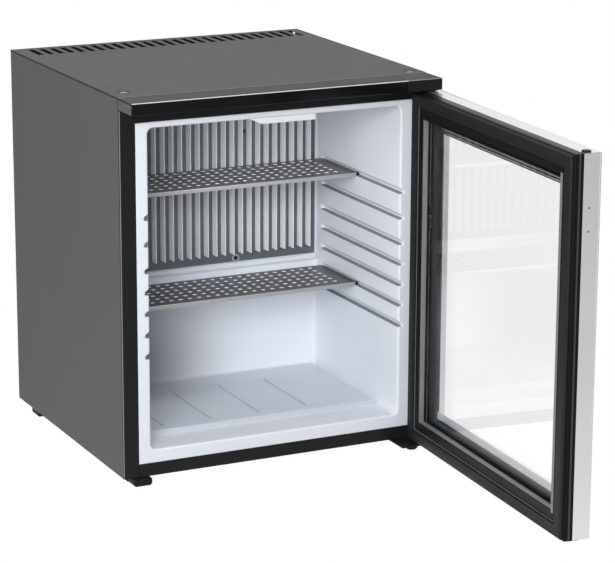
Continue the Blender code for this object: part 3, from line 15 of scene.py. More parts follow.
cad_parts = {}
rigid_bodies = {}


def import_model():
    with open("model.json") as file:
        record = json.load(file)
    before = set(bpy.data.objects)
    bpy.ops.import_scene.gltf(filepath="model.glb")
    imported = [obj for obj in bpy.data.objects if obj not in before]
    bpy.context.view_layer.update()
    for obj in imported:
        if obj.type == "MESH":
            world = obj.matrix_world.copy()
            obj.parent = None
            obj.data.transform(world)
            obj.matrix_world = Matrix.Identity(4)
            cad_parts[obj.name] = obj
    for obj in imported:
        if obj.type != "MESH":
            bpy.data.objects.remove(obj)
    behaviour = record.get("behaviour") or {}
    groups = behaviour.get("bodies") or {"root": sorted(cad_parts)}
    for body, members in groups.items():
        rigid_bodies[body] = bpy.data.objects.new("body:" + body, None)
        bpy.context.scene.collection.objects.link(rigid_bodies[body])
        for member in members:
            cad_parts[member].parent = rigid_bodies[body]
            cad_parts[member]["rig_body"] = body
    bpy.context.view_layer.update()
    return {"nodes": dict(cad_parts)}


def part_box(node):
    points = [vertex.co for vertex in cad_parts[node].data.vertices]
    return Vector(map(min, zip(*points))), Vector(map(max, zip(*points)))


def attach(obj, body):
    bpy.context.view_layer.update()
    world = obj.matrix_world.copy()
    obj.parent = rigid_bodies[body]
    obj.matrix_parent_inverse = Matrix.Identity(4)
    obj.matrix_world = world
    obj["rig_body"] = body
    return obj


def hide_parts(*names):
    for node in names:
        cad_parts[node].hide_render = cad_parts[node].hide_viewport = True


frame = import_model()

NODES = frame["nodes"]
LEFT_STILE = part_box("front_stile_left")
RIGHT_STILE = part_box("front_stile_right")
CABINET = Vector(((LEFT_STILE[0].x + RIGHT_STILE[1].x) / 2, LEFT_STILE[0].y, 0))
SIDES = ((-1, "left"), (1, "right"))

# Cabinet
HALF = 0.245
DEPTH = 0.446
TOP = 0.575
TRIM_LOW = 0.5577
TRIM_FRONT = -0.047
TRIM_BACK = 0.0042
COVER_SEAM = 0.188
STILE_HEIGHTS = (0.016, 0.5560)
CAP_DOT_RADIUS = 0.0028
CAP_DOT_REACH = 0.0075
# A black strip inside the top cover's rear fold, so the vent slots show dark: painted shade
VENT_SHADE_STRIP = ((-0.236, 0.236), (0.4388, 0.4402), (0.5415, 0.5734))
FOOT_PAD_HEIGHTS = (0.0006, 0.0126)
FRONT_PAD = ((-0.2308, -0.2022), (0.0220, 0.0850))
REAR_PAD = ((0.2080, 0.2390), (0.3720, 0.4030))

# Camera, in the cabinet's frame
CAMERA_PLACE = (-1.5814, -3.3376, 1.2535)
CAMERA_AZIMUTH = -26.0445
CAMERA_ELEVATION = 14.714
CAMERA_ROLL = 0.2551
CAMERA_LENS = 152.554

# Light
WORLD_LIGHT = 0.45
PAPER_WHITE = 1.04
FLOOR_GREY = 0.32
FLOOR_REACH = 6.0
FLOOR_FADE = 0.577
FLOOR_SHARE = 0.95
FLOOR_MIRRORED = 1.05
WORLD_MIRRORED = 0.85
INSIDE_LAMP = (0.011, 0.039, 0.5180)
DIM_CORNER = (-0.135, 0.325, 0.100)

# Liner
OPENING_HALF = 0.2021
OPENING_LOW = 0.0523
OPENING_HIGH = 0.5285
LINER_DEPTH = 0.283
LINER_CORNER = 0.009
LINER_EDGE = 0.003
LINER_BACK_FILLET = 0.006
LINER_WALL = 0.0016
FLANGE_HALF = 0.2207
FLANGE_LOW = 0.0326
FLANGE_HIGH = 0.5373
FLANGE_EDGE = 0.0006
FLANGE_LIP = 0.0018
FLOOR_RISE = 0.0077
FLOOR_FRONT = 0.060
FLOOR_SIDE_GAP = 0.0036
FLOOR_LINES = (-0.151, -0.072, 0.007, 0.086)
FLOOR_LINE_WIDTH = 0.0040
FLOOR_LINE_DEPTH = 0.0020
FLOOR_LINE_FRONT = 0.080
FLOOR_LINE_BACK = 0.235
GROOVE_LEVELS = (0.194, 0.2258, 0.2576, 0.2894, 0.3212, 0.3603, 0.3994)
GROOVE_HALF_HEIGHT = 0.0045
GROOVE_DEPTH = 0.006
GROOVE_END = 0.2643
GROOVE_RUN_OUT = 0.0032
# Height over a groove's lower edge up to which its faces get painted shade
GROOVE_SHADE_RISE = 0.0020

# Shelves
SHELF_FRONT = 0.143
SHELF_SHEET = 0.0010
SHELF_SIDE_DROP = 0.0044
SHELF_FRONT_DROP = 0.0065
SHELF_REAR_DROP = 0.0040
SHELF_NOTCH = 0.004
SHELF_BEND = 0.0016
SHELF_HOLE_RADIUS = 0.0034
SHELF_HOLE_SIDES = 20
SHELF_PITCH = (0.0153, 0.0176)
SHELF_HOLES = (24, 6)
SHELF_FIRST_ROW = 0.019
# Span across of the black blocks that stand for shade at the shelves' front corners
SHELF_CORNER_SHADE = (0.2032, 0.2064)

# Evaporator
FIN_COUNT = 26
FIN_PITCH = 0.01465
FIN_THICKNESS = 0.0016
FIN_DEPTH = 0.015
FIN_ROOT = 0.0012
FIN_LOW = 0.258
FIN_HIGH = 0.5195
PLATE_FACE = 0.2797
DRAIN_PLACE = (0.060, PLATE_FACE - 0.0013, 0.249)
DRAIN_SHADOW = 0.0034

# Door, as it is when shut
DOOR_LOW = 0.0181
DOOR_HIGH = 0.5537
OUTER_PANE_Y = -0.0329
HINGE_PLACE = (0.2353, -0.0274)
DOOR_ANGLE = 87.1
PRINT_INSET = 0.0460
FREE_LIP_INSET = (0.0306, 0.0362)

# Strips round the door: insets of the outer and inner edge, depths of the front and back
TRIM_RING = (0.0358, 0.0368, -0.0049, -0.0125)
PRINTED_BORDER = (0.0336, 0.0467, OUTER_PANE_Y + 0.0001, OUTER_PANE_Y + 0.0003)
GASKET_LINE = (0.0200, 0.0205, -0.0046, -0.0054)
EDGE_LINE = (-0.0001, 0.0008, -0.0121, -0.0150)
EDGE_SHADOW = (-0.0001, 0.0008, -0.0151, -0.0193)

# Cooling unit
UNIT_Y = 0.388
PIPE_RADIUS = 0.008
PIPE_BEND = 0.018
BOILER_X = 0.150
BOILER_TOP = 0.270
COIL_LEFT = -0.140
COIL_RIGHT = 0.088
COIL_LOW = 0.125
COIL_PITCH = 0.030
COIL_PASSES = 6
COIL_TOP = 0.300
COLD_PIPE_Y = 0.3043
COLD_LOW = 0.350
COLD_HIGH = 0.450
CONDENSER_HIGH = 0.526
CONDENSER_LOW = 0.518
CONDENSER_MIDDLE = 0.522
CONDENSER_END = 0.105
CONDENSER_TAIL = 0.490
CONDENSER_FIRST_FIN = -0.108
CONDENSER_FIN_PITCH = 0.0145
CONDENSER_FIN_COUNT = 14
CONDENSER_FIN_SIZE = 0.050
CONDENSER_FIN_CORNER = 0.004
CONDENSER_FIN_SHEET = 0.001
VESSEL_LEFT = -0.165
VESSEL_RIGHT = 0.075
VESSEL_Z = 0.075
VESSEL_RADIUS = 0.026
VESSEL_DOME = 0.013
SCREW_HEAD = (0.0038, 0.0022)
SCREW_ROWS = 5


# Meshes


def new_object(name, mesh):
    obj = bpy.data.objects.new(name, mesh)
    bpy.context.scene.collection.objects.link(obj)
    return obj


def mesh_from(name, bm):
    mesh = bpy.data.meshes.new(name)
    bm.to_mesh(mesh)
    bm.free()
    return mesh


def smoothed(obj, angle=30):
    obj.data.shade_smooth()
    obj.data.set_sharp_from_angle(angle=math.radians(angle))
    return obj


def baked(obj):
    """Turns the evaluated object into a plain mesh and drops its modifiers."""
    bpy.context.view_layer.update()
    graph = bpy.context.evaluated_depsgraph_get()
    mesh = bpy.data.meshes.new_from_object(obj.evaluated_get(graph))
    obj.modifiers.clear()
    old = obj.data
    obj.data = mesh
    if not old.users:
        bpy.data.meshes.remove(old)
    return obj


def bevelled(obj, width, segments=2, angle=30):
    """Rounds the edges that turn by more than the angle, with flat faces left flat."""
    bevel = smoothed(obj).modifiers.new("eased_edges", "BEVEL")
    bevel.width = width
    bevel.segments = segments
    bevel.limit_method = "ANGLE"
    bevel.angle_limit = math.radians(angle)
    bevel.harden_normals = True
    bevel.miter_outer = "MITER_ARC" if segments > 1 else "MITER_SHARP"
    return baked(obj)


def thickened(obj, thickness, rim=0):
    """Gives a skin its wall, inwards. The cut edges' material is rim places after the face's."""
    wall = obj.modifiers.new("wall", "SOLIDIFY")
    wall.thickness = thickness
    wall.offset = -1
    wall.material_offset_rim = rim
    return baked(obj)


def painted(obj, *materials):
    obj.data.materials.clear()
    for material in materials:
        obj.data.materials.append(material)
    return obj


def finished(obj, body, slot, *replaced):
    """Ties a piece to its body and hides the solids that it stands for. The slot is not used."""
    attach(obj, body)
    if replaced:
        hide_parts(*replaced)
    return obj


def body_of(node):
    return NODES[node]["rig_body"]


def merged_copy(node, name):
    """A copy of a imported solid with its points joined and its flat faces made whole."""
    bm = bmesh.new()
    bm.from_mesh(NODES[node].data)
    bmesh.ops.remove_doubles(bm, verts=bm.verts, dist=2e-6)
    bmesh.ops.dissolve_limit(bm, angle_limit=math.radians(0.4), verts=bm.verts, edges=bm.edges)
    bmesh.ops.recalc_face_normals(bm, faces=bm.faces)
    return new_object(name, mesh_from(name, bm))


def eased(node, width, material, slot, segments=2, angle=30):
    """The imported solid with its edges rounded."""
    obj = bevelled(merged_copy(node, node + "_eased"), width, segments, angle)
    return finished(painted(obj, material), body_of(node), slot, node)


def smooth_copy(node, material, slot):
    obj = smoothed(merged_copy(node, node + "_smooth"), 40)
    return finished(painted(obj, material), body_of(node), slot, node)


def cabinet_point(x, y, z):
    return Vector((x, y, z)) + CABINET


def door_point(x, y, z):
    """A place on the shut door, swung to where the door stands at rest."""
    hinge = Vector((*HINGE_PLACE, 0))
    swing = Matrix.Rotation(math.radians(DOOR_ANGLE), 3, "Z")
    return swing @ (Vector((x, y, z)) - hinge) + hinge + CABINET


def lofted(name, loops, ring=False, caps=(), place=None):
    """A skin over loops of points, with faces across the loops that caps counts."""
    bm = bmesh.new()
    rows = [[bm.verts.new(place(*point) if place else point) for point in loop] for loop in loops]
    for first, second in zip(rows, rows[1:] + rows[:1] if ring else rows[1:]):
        for index in range(len(first)):
            bm.faces.new((first[index - 1], first[index], second[index], second[index - 1]))
    for index in caps:
        bm.faces.new(rows[index])
    bmesh.ops.recalc_face_normals(bm, faces=bm.faces)
    return mesh_from(name, bm)


def loft(name, loops, ring=False, caps=(), place=cabinet_point):
    return new_object(name, lofted(name, loops, ring, caps, place))


def slab(name, material, slot, x, y, z, body="cabinet", place=cabinet_point, ease=0):
    """A thin plate or strip between two values along X, Y and Z."""
    corners = ((x[0], y[0]), (x[1], y[0]), (x[1], y[1]), (x[0], y[1]))
    obj = loft(name, [[(*corner, level) for corner in corners] for level in z], caps=(0, 1), place=place)
    if ease:
        bevelled(obj, ease, 1)
    return finished(painted(obj, material), body, slot)


def circle(radius, steps=40):
    angles = [2 * math.pi * step / steps for step in range(steps)]
    return [(radius * math.cos(angle), radius * math.sin(angle)) for angle in angles]


def lathe(name, profile, centre, axis="Z"):
    """A round shape from radii and distances along an axis through its centre."""
    order = {"X": (2, 0, 1), "Y": (1, 2, 0), "Z": (0, 1, 2)}[axis]
    loops = []
    for radius, along in profile:
        points = [(u, v, along) for u, v in circle(radius)]
        loops.append([tuple(centre[way] + point[order[way]] for way in range(3)) for point in points])
    return smoothed(loft(name, loops, caps=(0, -1)), 32)


def mirrored(side, near, far):
    """A span on the left side for -1 and on the right side for 1."""
    return sorted((side * near, side * far))


# Materials


class Wiring:
    """Adds nodes to one tree and links them."""

    def __init__(self, tree):
        self.tree = tree

    def add(self, kind, inputs=None, **settings):
        node = self.tree.nodes.new(kind)
        for key, value in settings.items():
            setattr(node, key, value)
        for key, value in (inputs or {}).items():
            self.put(node.inputs[key], value)
        return node

    def put(self, socket, value):
        if isinstance(value, bpy.types.NodeSocket):
            self.tree.links.new(value, socket)
        else:
            socket.default_value = value

    def result(self, kind, inputs=None, **settings):
        """The first output of a new node."""
        return self.add(kind, inputs, **settings).outputs[0]

    def group(self, tree, **inputs):
        """The result of one of the effects below."""
        return self.result("ShaderNodeGroup", inputs, node_tree=tree)

    def place(self):
        return self.add("ShaderNodeTexCoord").outputs["Object"]

    def math(self, operation, first, second, **settings):
        return self.result("ShaderNodeMath", {0: first, 1: second}, operation=operation, **settings)

    def level(self, value, low, high, to_low=0.0, to_high=1.0, **settings):
        """The value carried from one range to another, and held at its ends."""
        inputs = {"Value": value, "From Min": low, "From Max": high, "To Min": to_low, "To Max": to_high}
        return self.result("ShaderNodeMapRange", inputs, **settings)

    def scaled(self, colour, share):
        return self.result("ShaderNodeVectorMath", {0: colour, "Scale": share}, operation="SCALE")

    def noise(self, scale, detail, roughness=0.5, vector=None, distortion=0.0):
        inputs = {"Scale": scale, "Detail": detail, "Roughness": roughness, "Distortion": distortion}
        inputs["Vector"] = self.place() if vector is None else vector
        return self.result("ShaderNodeTexNoise", inputs)

    def relief(self, height, strength, depth):
        return self.result("ShaderNodeBump", {"Height": height, "Strength": strength, "Distance": depth})


def effect(name, output, kind="NodeSocketFloat", **inputs):
    """An empty shader group with named inputs and one output."""
    tree = bpy.data.node_groups.new(name, "ShaderNodeTree")
    for key, value in inputs.items():
        size = len(value) if isinstance(value, tuple) else 1
        given_kind = {1: "NodeSocketFloat", 3: "NodeSocketVector", 4: "NodeSocketColor"}[size]
        tree.interface.new_socket(key, in_out="INPUT", socket_type=given_kind).default_value = value
    tree.interface.new_socket(output, in_out="OUTPUT", socket_type=kind)
    given = tree.nodes.new("NodeGroupInput").outputs
    return tree, Wiring(tree), given, tree.nodes.new("NodeGroupOutput").inputs


def tone_effect():
    """Slow changes of brightness over a surface, such as uneven paint or moulded plastic."""
    tree, wire, given, out = effect(
        "uneven_tone", "Colour", "NodeSocketColor", Colour=(1.0, 1.0, 1.0, 1.0), Scale=6.0, Amount=0.1
    )
    low = wire.math("SUBTRACT", 1.0, given["Amount"])
    high = wire.math("ADD", 1.0, given["Amount"])
    level = wire.level(wire.noise(given["Scale"], 4.0, 0.55), 0.3, 0.7, low, high)
    wire.put(out[0], wire.scaled(given["Colour"], level))
    return tree


def grain_effect():
    """Fine grain for bump: powder coat, moulded texture or cast surface."""
    tree, wire, given, out = effect("fine_grain", "Height", Scale=900.0, Soft=120.0)
    fine = wire.noise(given["Scale"], 2.0, 0.6)
    wire.put(out[0], wire.math("ADD", fine, wire.noise(given["Soft"], 1.0)))
    return tree


def handling_effect():
    """Roughness that changes where a surface has been wiped and touched."""
    tree, wire, given, out = effect("handling", "Roughness", Roughness=0.4, Spread=0.08, Scale=9.0)
    smear = wire.result("ShaderNodeMapping", {"Vector": wire.place(), "Scale": (1.0, 1.0, 0.45)})
    noise = wire.noise(given["Scale"], 5.0, vector=smear, distortion=0.6)
    low = wire.math("SUBTRACT", given["Roughness"], given["Spread"])
    high = wire.math("ADD", given["Roughness"], given["Spread"])
    wire.put(out[0], wire.level(noise, 0.32, 0.68, low, high))
    return tree


def brushed_effect():
    """Fine lines of drawn or brushed metal. Stretch is large across the lines and small along them."""
    tree, wire, given, out = effect("drawn_lines", "Lines", Stretch=(900.0, 900.0, 8.0))
    drawn = wire.result("ShaderNodeVectorMath", {0: wire.place(), 1: given["Stretch"]}, operation="MULTIPLY")
    wire.put(out[0], wire.noise(1.0, 3.0, 0.65, drawn))
    return tree


def dust_effect():
    """A thin film that settles on faces that look up."""
    tree, wire, given, out = effect("settled_dust", "Mask", Amount=0.1, Scale=40.0)
    facing = wire.add("ShaderNodeSeparateXYZ", {0: wire.add("ShaderNodeNewGeometry").outputs["Normal"]})
    up = wire.level(facing.outputs["Z"], 0.75, 1.0)
    patches = wire.level(wire.noise(given["Scale"], 6.0, 0.7), 0.42, 0.72)
    wire.put(out[0], wire.math("MULTIPLY", wire.math("MULTIPLY", up, patches), given["Amount"]))
    return tree


TONE = tone_effect()
GRAIN = grain_effect()
HANDLING = handling_effect()
BRUSHED = brushed_effect()
DUST = dust_effect()
DUST_COLOUR = (0.5, 0.5, 0.5, 1.0)


def blank(name, colour):
    material = bpy.data.materials.new(name)
    material.use_nodes = True
    material.diffuse_color = (*colour, 1.0)
    return material, Wiring(material.node_tree), material.node_tree.nodes["Principled BSDF"].inputs


def surface(
    name, colour, roughness, spread=0.03, tone=0.03, tone_scale=5.0, metallic=0.0, grain=900.0, soft=120.0,
    bump=0.03, depth=0.00005, dust=0.0, specular=0.5, brushed=None, brushed_tone=0.0, dim=None,
):
    """An opaque finish: uneven tone, handling marks, grain in the bump and, where asked, lines and dust.

    dim is a soft shadow in the tone: its centre, its reach and how much of the tone is left at the centre.
    """
    material, wire, shader = blank(name, colour)
    shader["Metallic"].default_value = metallic
    shader["Specular IOR Level"].default_value = specular
    shade = wire.group(TONE, Colour=(*colour, 1.0), Scale=tone_scale, Amount=tone)
    if brushed:
        height = wire.group(BRUSHED, Stretch=brushed)
        shade = wire.scaled(shade, wire.level(height, 0.3, 0.7, 1 - brushed_tone, 1 + brushed_tone))
    else:
        height = wire.group(GRAIN, Scale=grain, Soft=soft)
    if dust:
        inputs = {0: wire.group(DUST, Amount=dust), 6: shade, 7: DUST_COLOUR}
        shade = wire.add("ShaderNodeMix", inputs, data_type="RGBA").outputs[2]
    if dim:
        centre, reach, low = dim
        away = wire.add("ShaderNodeVectorMath", {0: wire.place(), 1: centre}, operation="DISTANCE")
        level = wire.level(away.outputs["Value"], 0.0, reach, low, interpolation_type="SMOOTHSTEP")
        shade = wire.scaled(shade, level)
    wire.put(shader["Base Color"], shade)
    wire.put(shader["Roughness"], wire.group(HANDLING, Roughness=roughness, Spread=spread))
    wire.put(shader["Normal"], wire.relief(height, bump, depth))
    return material


def spangled(name, colour, roughness):
    """Galvanised sheet with its crystal pattern."""
    material, wire, shader = blank(name, colour)
    cells = wire.add("ShaderNodeTexVoronoi", {"Vector": wire.place(), "Scale": 90.0})
    shade = wire.scaled(colour, wire.level(cells.outputs["Color"], 0.0, 1.0, 0.86, 1.08))
    wire.put(shader["Base Color"], wire.group(TONE, Colour=shade, Scale=3.0, Amount=0.05))
    wire.put(shader["Roughness"], wire.group(HANDLING, Roughness=roughness, Spread=0.08, Scale=30.0))
    shader["Metallic"].default_value = 0.8
    return material


def clear_glass(name, tint):
    """Float glass: clear, with a faint tint and the slight waviness of a pane."""
    material, wire, shader = blank(name, tint)
    wire.put(shader["Base Color"], wire.group(TONE, Colour=(*tint, 1.0), Scale=3.0, Amount=0.01))
    wire.put(shader["Normal"], wire.relief(wire.noise(5.0, 1.0), 0.04, 0.0004))
    for key, value in (("Roughness", 0.0), ("Transmission Weight", 1.0), ("IOR", 1.22)):
        shader[key].default_value = value
    return material


SHEET_PAINT = dict(spread=0.02, tone_scale=2.5, bump=0.05, depth=0.00006, grain=700.0, dust=0.02)
BLACK = dict(spread=0.02, tone=0.05)
MOULDED = dict(spread=0.02, tone=0.008, tone_scale=3.0, bump=0.02, depth=0.0002, grain=14.0, soft=6.0)
LEDGE = dict(spread=0.02, tone=0.01, bump=0.02, depth=0.0001, grain=14.0, specular=0.3)
COMB = dict(spread=0.04, bump=0.05, brushed=(500.0, 500.0, 5.0), brushed_tone=0.05)
PLATED = dict(spread=0.05, tone=0.05, bump=0.05, depth=0.00006)

CABINET_PAINT = surface(
    "cabinet_grey_paint", (0.106, 0.107, 0.109), 0.46, tone=0.02, specular=0.08, **SHEET_PAINT
)
TRIM_PAINT = surface("trim_grey_paint", (0.056, 0.057, 0.059), 0.46, specular=0.08, **SHEET_PAINT)
FRAME_PAINT = surface(
    "front_black_paint", (0.012, 0.012, 0.013), 0.36, bump=0.05, dust=0.01, specular=0.14, **BLACK
)
FASCIA_GLOSS = surface(
    "fascia_gloss", (0.004, 0.004, 0.005), 0.16, bump=0.01, depth=0.00003, specular=0.22, **BLACK
)
BLACK_PLASTIC = surface(
    "moulded_black", (0.010, 0.010, 0.011), 0.42, tone=0.05, bump=0.08, depth=0.00006, grain=1200.0,
    specular=0.12,
)
DOOR_PLASTIC = surface(
    "door_black", (0.007, 0.007, 0.008), 0.34, bump=0.04, grain=1200.0, specular=0.09, **BLACK
)
TRIM_GREY = surface("door_trim_grey", (0.20, 0.202, 0.205), 0.36, depth=0.00004, specular=0.4)
LINER_WHITE = surface(
    "liner_white", (0.835, 0.866, 0.925), 0.34, specular=0.4, dim=(DIM_CORNER, 0.20, 0.30), **MOULDED
)
# Darker copy of the liner's white for the raised floor: painted shade, besides the painted shadow towards the
# back-left corner
FLOOR_SHADE_WHITE = surface(
    "liner_floor_painted_shade", (0.715, 0.752, 0.825), 0.34, specular=0.4, dim=(DIM_CORNER, 0.15, 0.58), **MOULDED
)
# Darker copy of the liner's white: painted shade on the floor's step and in the drain lines
STEP_SHADE = surface("liner_step_painted_shade", (0.56, 0.585, 0.64), 0.40, **LEDGE)
# Darker copy of the liner's white: painted shade on the lower faces of the shelf grooves
GROOVE_SHADE = surface("liner_groove_painted_shade", (0.25, 0.265, 0.29), 0.40, **LEDGE)
LAMP_WHITE = surface("lamp_white", (0.90, 0.91, 0.92), 0.28, spread=0.02, tone=0.01, bump=0.02)
FOAM = surface(
    "foam", (0.78, 0.70, 0.48), 0.9, spread=0.05, tone=0.10, tone_scale=30.0, bump=0.8, depth=0.0006,
    grain=300.0,
)
FIN_METAL = surface("fin_aluminium", (0.95, 0.96, 0.95), 0.36, metallic=0.1, **COMB)
# Dark copy of the fins' aluminium for the plate between them: painted shade
PLATE_SHADE_METAL = surface("plate_aluminium_painted_shade", (0.150, 0.166, 0.192), 0.40, tone=0.05, metallic=0.35, **COMB)
SHELF_METAL = surface("shelf_grey", (0.115, 0.120, 0.126), 0.36, metallic=0.2, specular=0.3)
# Lighter copy of the shelf's grey for the front lip, which faces the light: painted highlight
SHELF_LIP_HIGHLIGHT = surface("shelf_front_lip_painted_highlight", (0.40, 0.405, 0.41), 0.34, metallic=0.3)
# Near-white cut edges: lighter bare steel, with painted highlight that makes the holes read bright
SHELF_EDGE_HIGHLIGHT = surface("shelf_cut_edge_painted_highlight", (0.93, 0.93, 0.93), 0.40, tone=0.02, metallic=0.1)
DOOR_METAL = surface(
    "door_anodised", (0.86, 0.865, 0.87), 0.30, tone=0.02, metallic=0.85, bump=0.04,
    brushed=(1500.0, 1500.0, 9.0), brushed_tone=0.02,
)
ZINC = surface("zinc_plate", (0.55, 0.56, 0.57), 0.34, metallic=0.9, **PLATED)
DARK_ZINC = surface("dark_zinc", (0.055, 0.057, 0.060), 0.38, metallic=0.5, **PLATED)
GASKET = surface(
    "gasket_rubber", (0.010, 0.010, 0.011), 0.50, spread=0.04, tone=0.04, bump=0.06, depth=0.00006,
    grain=1500.0, specular=0.2,
)
FOOT_RUBBER = surface(
    "foot_rubber", (0.006, 0.006, 0.007), 0.5, spread=0.05, tone=0.06, bump=0.15, depth=0.0001, grain=800.0,
    dust=0.01, specular=0.15,
)
PIPE_PAINT = surface(
    "pipe_black", (0.026, 0.026, 0.028), 0.46, spread=0.06, tone=0.08, tone_scale=14.0, metallic=0.1,
    bump=0.15, depth=0.0001, grain=500.0, dust=0.06,
)
WELD = surface(
    "weld_bead", (0.060, 0.056, 0.052), 0.55, spread=0.08, tone=0.2, tone_scale=60.0, metallic=0.4, bump=0.6,
    depth=0.0003, grain=400.0,
)
# Light grey on the black plastic drain spout, for the lit ring round the drain hole: painted highlight
DRAIN_LIT_GREY = surface("drain_painted_highlight", (0.34, 0.36, 0.39), 0.38)
# Near-white strips for light on edges: painted highlight
PAINTED_HIGHLIGHT = surface("edge_painted_highlight", (0.80, 0.80, 0.80), 0.35, tone=0.02, bump=0.02)
# Grey strips for light on the edges of dark parts: painted highlight
GREY_HIGHLIGHT = surface("grey_painted_highlight", (0.26, 0.26, 0.265), 0.35, tone=0.02, bump=0.02)
# Black for print and small dark parts, and for strips and blocks that stand for shade in seams, vents, shelf
# corners and the drain: painted shade
BLACK_AND_SHADE = surface("spacer_black_and_painted_shade", (0.013, 0.013, 0.014), 0.42, tone=0.05, bump=0.05, specular=0.25)
PALE_BAND = surface("pale_desiccant_band", (0.56, 0.57, 0.58), 0.40)
GALVANISED = spangled("galvanised_sheet", (0.50, 0.52, 0.53), 0.42)
GLASS = clear_glass("door_glass", (0.993, 0.998, 0.996))


# Stage


def set_camera():
    data = bpy.data.cameras.new("camera")
    data.lens = CAMERA_LENS
    data.sensor_width = 36.0
    data.clip_end = 50.0
    camera = new_object("camera", data)
    turn = Matrix.Translation(cabinet_point(*CAMERA_PLACE))
    for degrees, axis in ((CAMERA_AZIMUTH, "Z"), (90 - CAMERA_ELEVATION, "X"), (CAMERA_ROLL, "Z")):
        turn = turn @ Matrix.Rotation(math.radians(degrees), 4, axis)
    camera.matrix_world = turn
    bpy.context.scene.camera = camera


def area_lamp(name, place, target, size, power, colour=(1, 1, 1)):
    data = bpy.data.lights.new(name, "AREA")
    data.shape = "RECTANGLE"
    data.size, data.size_y = size
    data.energy = power
    data.color = colour
    lamp = new_object(name, data)
    lamp.location = place
    lamp.rotation_mode = "QUATERNION"
    lamp.rotation_quaternion = (Vector(target) - Vector(place)).to_track_quat("-Z", "Y")


def seen_share(wire, mirrored_share):
    """1 on rays from the camera or through glass, and the mirrored share on rays off a shiny face."""
    path = wire.add("ShaderNodeLightPath").outputs
    shiny = wire.math("MULTIPLY", path["Is Glossy Ray"], mirrored_share)
    both = wire.math("ADD", shiny, path["Is Camera Ray"])
    return wire.math("ADD", both, path["Is Transmission Ray"], use_clamp=True)


def floor_glow(wire):
    """The share of the floor that shines on seen rays. In shiny faces it falls off away from the cabinet."""
    away = wire.add("ShaderNodeVectorMath", {0: wire.place()}, operation="LENGTH").outputs["Value"]
    mirrored_share = wire.math("MULTIPLY", wire.math("POWER", FLOOR_FADE, away), FLOOR_MIRRORED)
    return wire.math("MULTIPLY", seen_share(wire, mirrored_share), FLOOR_SHARE)


def set_floor():
    material = bpy.data.materials.new("pale_floor")
    material.use_nodes = True
    nodes = material.node_tree.nodes
    nodes.remove(nodes["Principled BSDF"])
    wire = Wiring(material.node_tree)
    matt = wire.result("ShaderNodeBsdfDiffuse", {"Color": (FLOOR_GREY, FLOOR_GREY, FLOOR_GREY, 1.0)})
    glow = wire.result("ShaderNodeEmission", {"Color": (1, 1, 1, 1), "Strength": PAPER_WHITE})
    mixed = wire.result("ShaderNodeMixShader", {0: floor_glow(wire), 1: matt, 2: glow})
    wire.put(nodes["Material Output"].inputs["Surface"], mixed)
    bm = bmesh.new()
    bmesh.ops.create_grid(bm, x_segments=1, y_segments=1, size=FLOOR_REACH)
    painted(new_object("floor", mesh_from("floor", bm)), material)


def set_light():
    world = bpy.data.worlds.new("studio")
    bpy.context.scene.world = world
    world.use_nodes = True
    wire = Wiring(world.node_tree)
    background = world.node_tree.nodes["Background"].inputs
    strength = wire.level(seen_share(wire, WORLD_MIRRORED), 0.0, 1.0, WORLD_LIGHT, PAPER_WHITE)
    wire.put(background["Strength"], strength)
    background["Color"].default_value = (1.0, 1.0, 1.0, 1.0)
    middle = (CABINET.x, CABINET.y + 0.1, 0.3)
    area_lamp("top_softbox", (-0.2, -1.1, 1.7), (0.0, 0.0, 0.55), (1.2, 0.8), 0.8)
    area_lamp("front_softbox", (-1.75, -2.35, 1.20), middle, (1.4, 1.4), 70.0, (0.98, 0.99, 1.0))
    area_lamp("side_softbox", (-2.8, 0.2, 0.6), middle, (1.4, 1.2), 17.0)
    inside = cabinet_point(*INSIDE_LAMP)
    area_lamp("inside_lamp", inside, (inside.x, inside.y + 0.06, 0.1), (0.075, 0.05), 0.22)
    bpy.context.scene.view_settings.view_transform = "Standard"


# Liner


def ramp(value, low, high):
    """0 below low, 1 above high and a smooth step between."""
    share = min(1.0, max(0.0, (value - low) / (high - low)))
    return share * share * (3 - 2 * share)


def groove_share(level):
    """How much of the groove's depth the wall has at this height: a ledge below, sloping in above it."""
    rises = [level - centre + GROOVE_HALF_HEIGHT for centre in GROOVE_LEVELS]
    return max(ramp(rise, -0.0003, 0.0006) * (1 - ramp(rise, 0.0050, 0.0100)) for rise in rises)


def floor_rise(x, y):
    """Height of the raised floor over the liner's bottom, with its drain lines."""
    edge = OPENING_HALF - FLOOR_SIDE_GAP
    share = ramp(y, FLOOR_FRONT - 0.0005, FLOOR_FRONT + 0.0005)
    share *= 1 - ramp(abs(x), edge - 0.0012, edge + 0.0008)
    height = FLOOR_RISE * share
    along = ramp(y, FLOOR_LINE_FRONT - 0.002, FLOOR_LINE_FRONT)
    along *= 1 - ramp(y, FLOOR_LINE_BACK, FLOOR_LINE_BACK + 0.002)
    for line in FLOOR_LINES:
        across = 1 - ramp(abs(x - line), FLOOR_LINE_WIDTH / 2 - 0.0009, FLOOR_LINE_WIDTH / 2 + 0.0003)
        height -= FLOOR_LINE_DEPTH * along * across
    return height


def filled_in(places, low, high, step):
    """The places from low to high, with even steps wherever none is near."""
    count = max(1, round((high - low) / step))
    places = {low, high} | {round(place, 6) for place in places}
    for index in range(count + 1):
        even = low + (high - low) * index / count
        if all(abs(even - other) > 0.003 for other in places):
            places.add(even)
    return sorted(place for place in places if low <= place <= high)


def side_levels(low, high):
    """Heights at which the side wall has points: close together at each groove's edges."""
    rises = (-0.0010, -0.0003, 0.0, 0.0003, 0.0006, 0.0018, 0.0050, 0.0062, 0.0075, 0.0088, 0.0100, 0.0108)
    levels = [centre - GROOVE_HALF_HEIGHT + rise for centre in GROOVE_LEVELS for rise in rises]
    return filled_in(levels, low, high, 0.028)


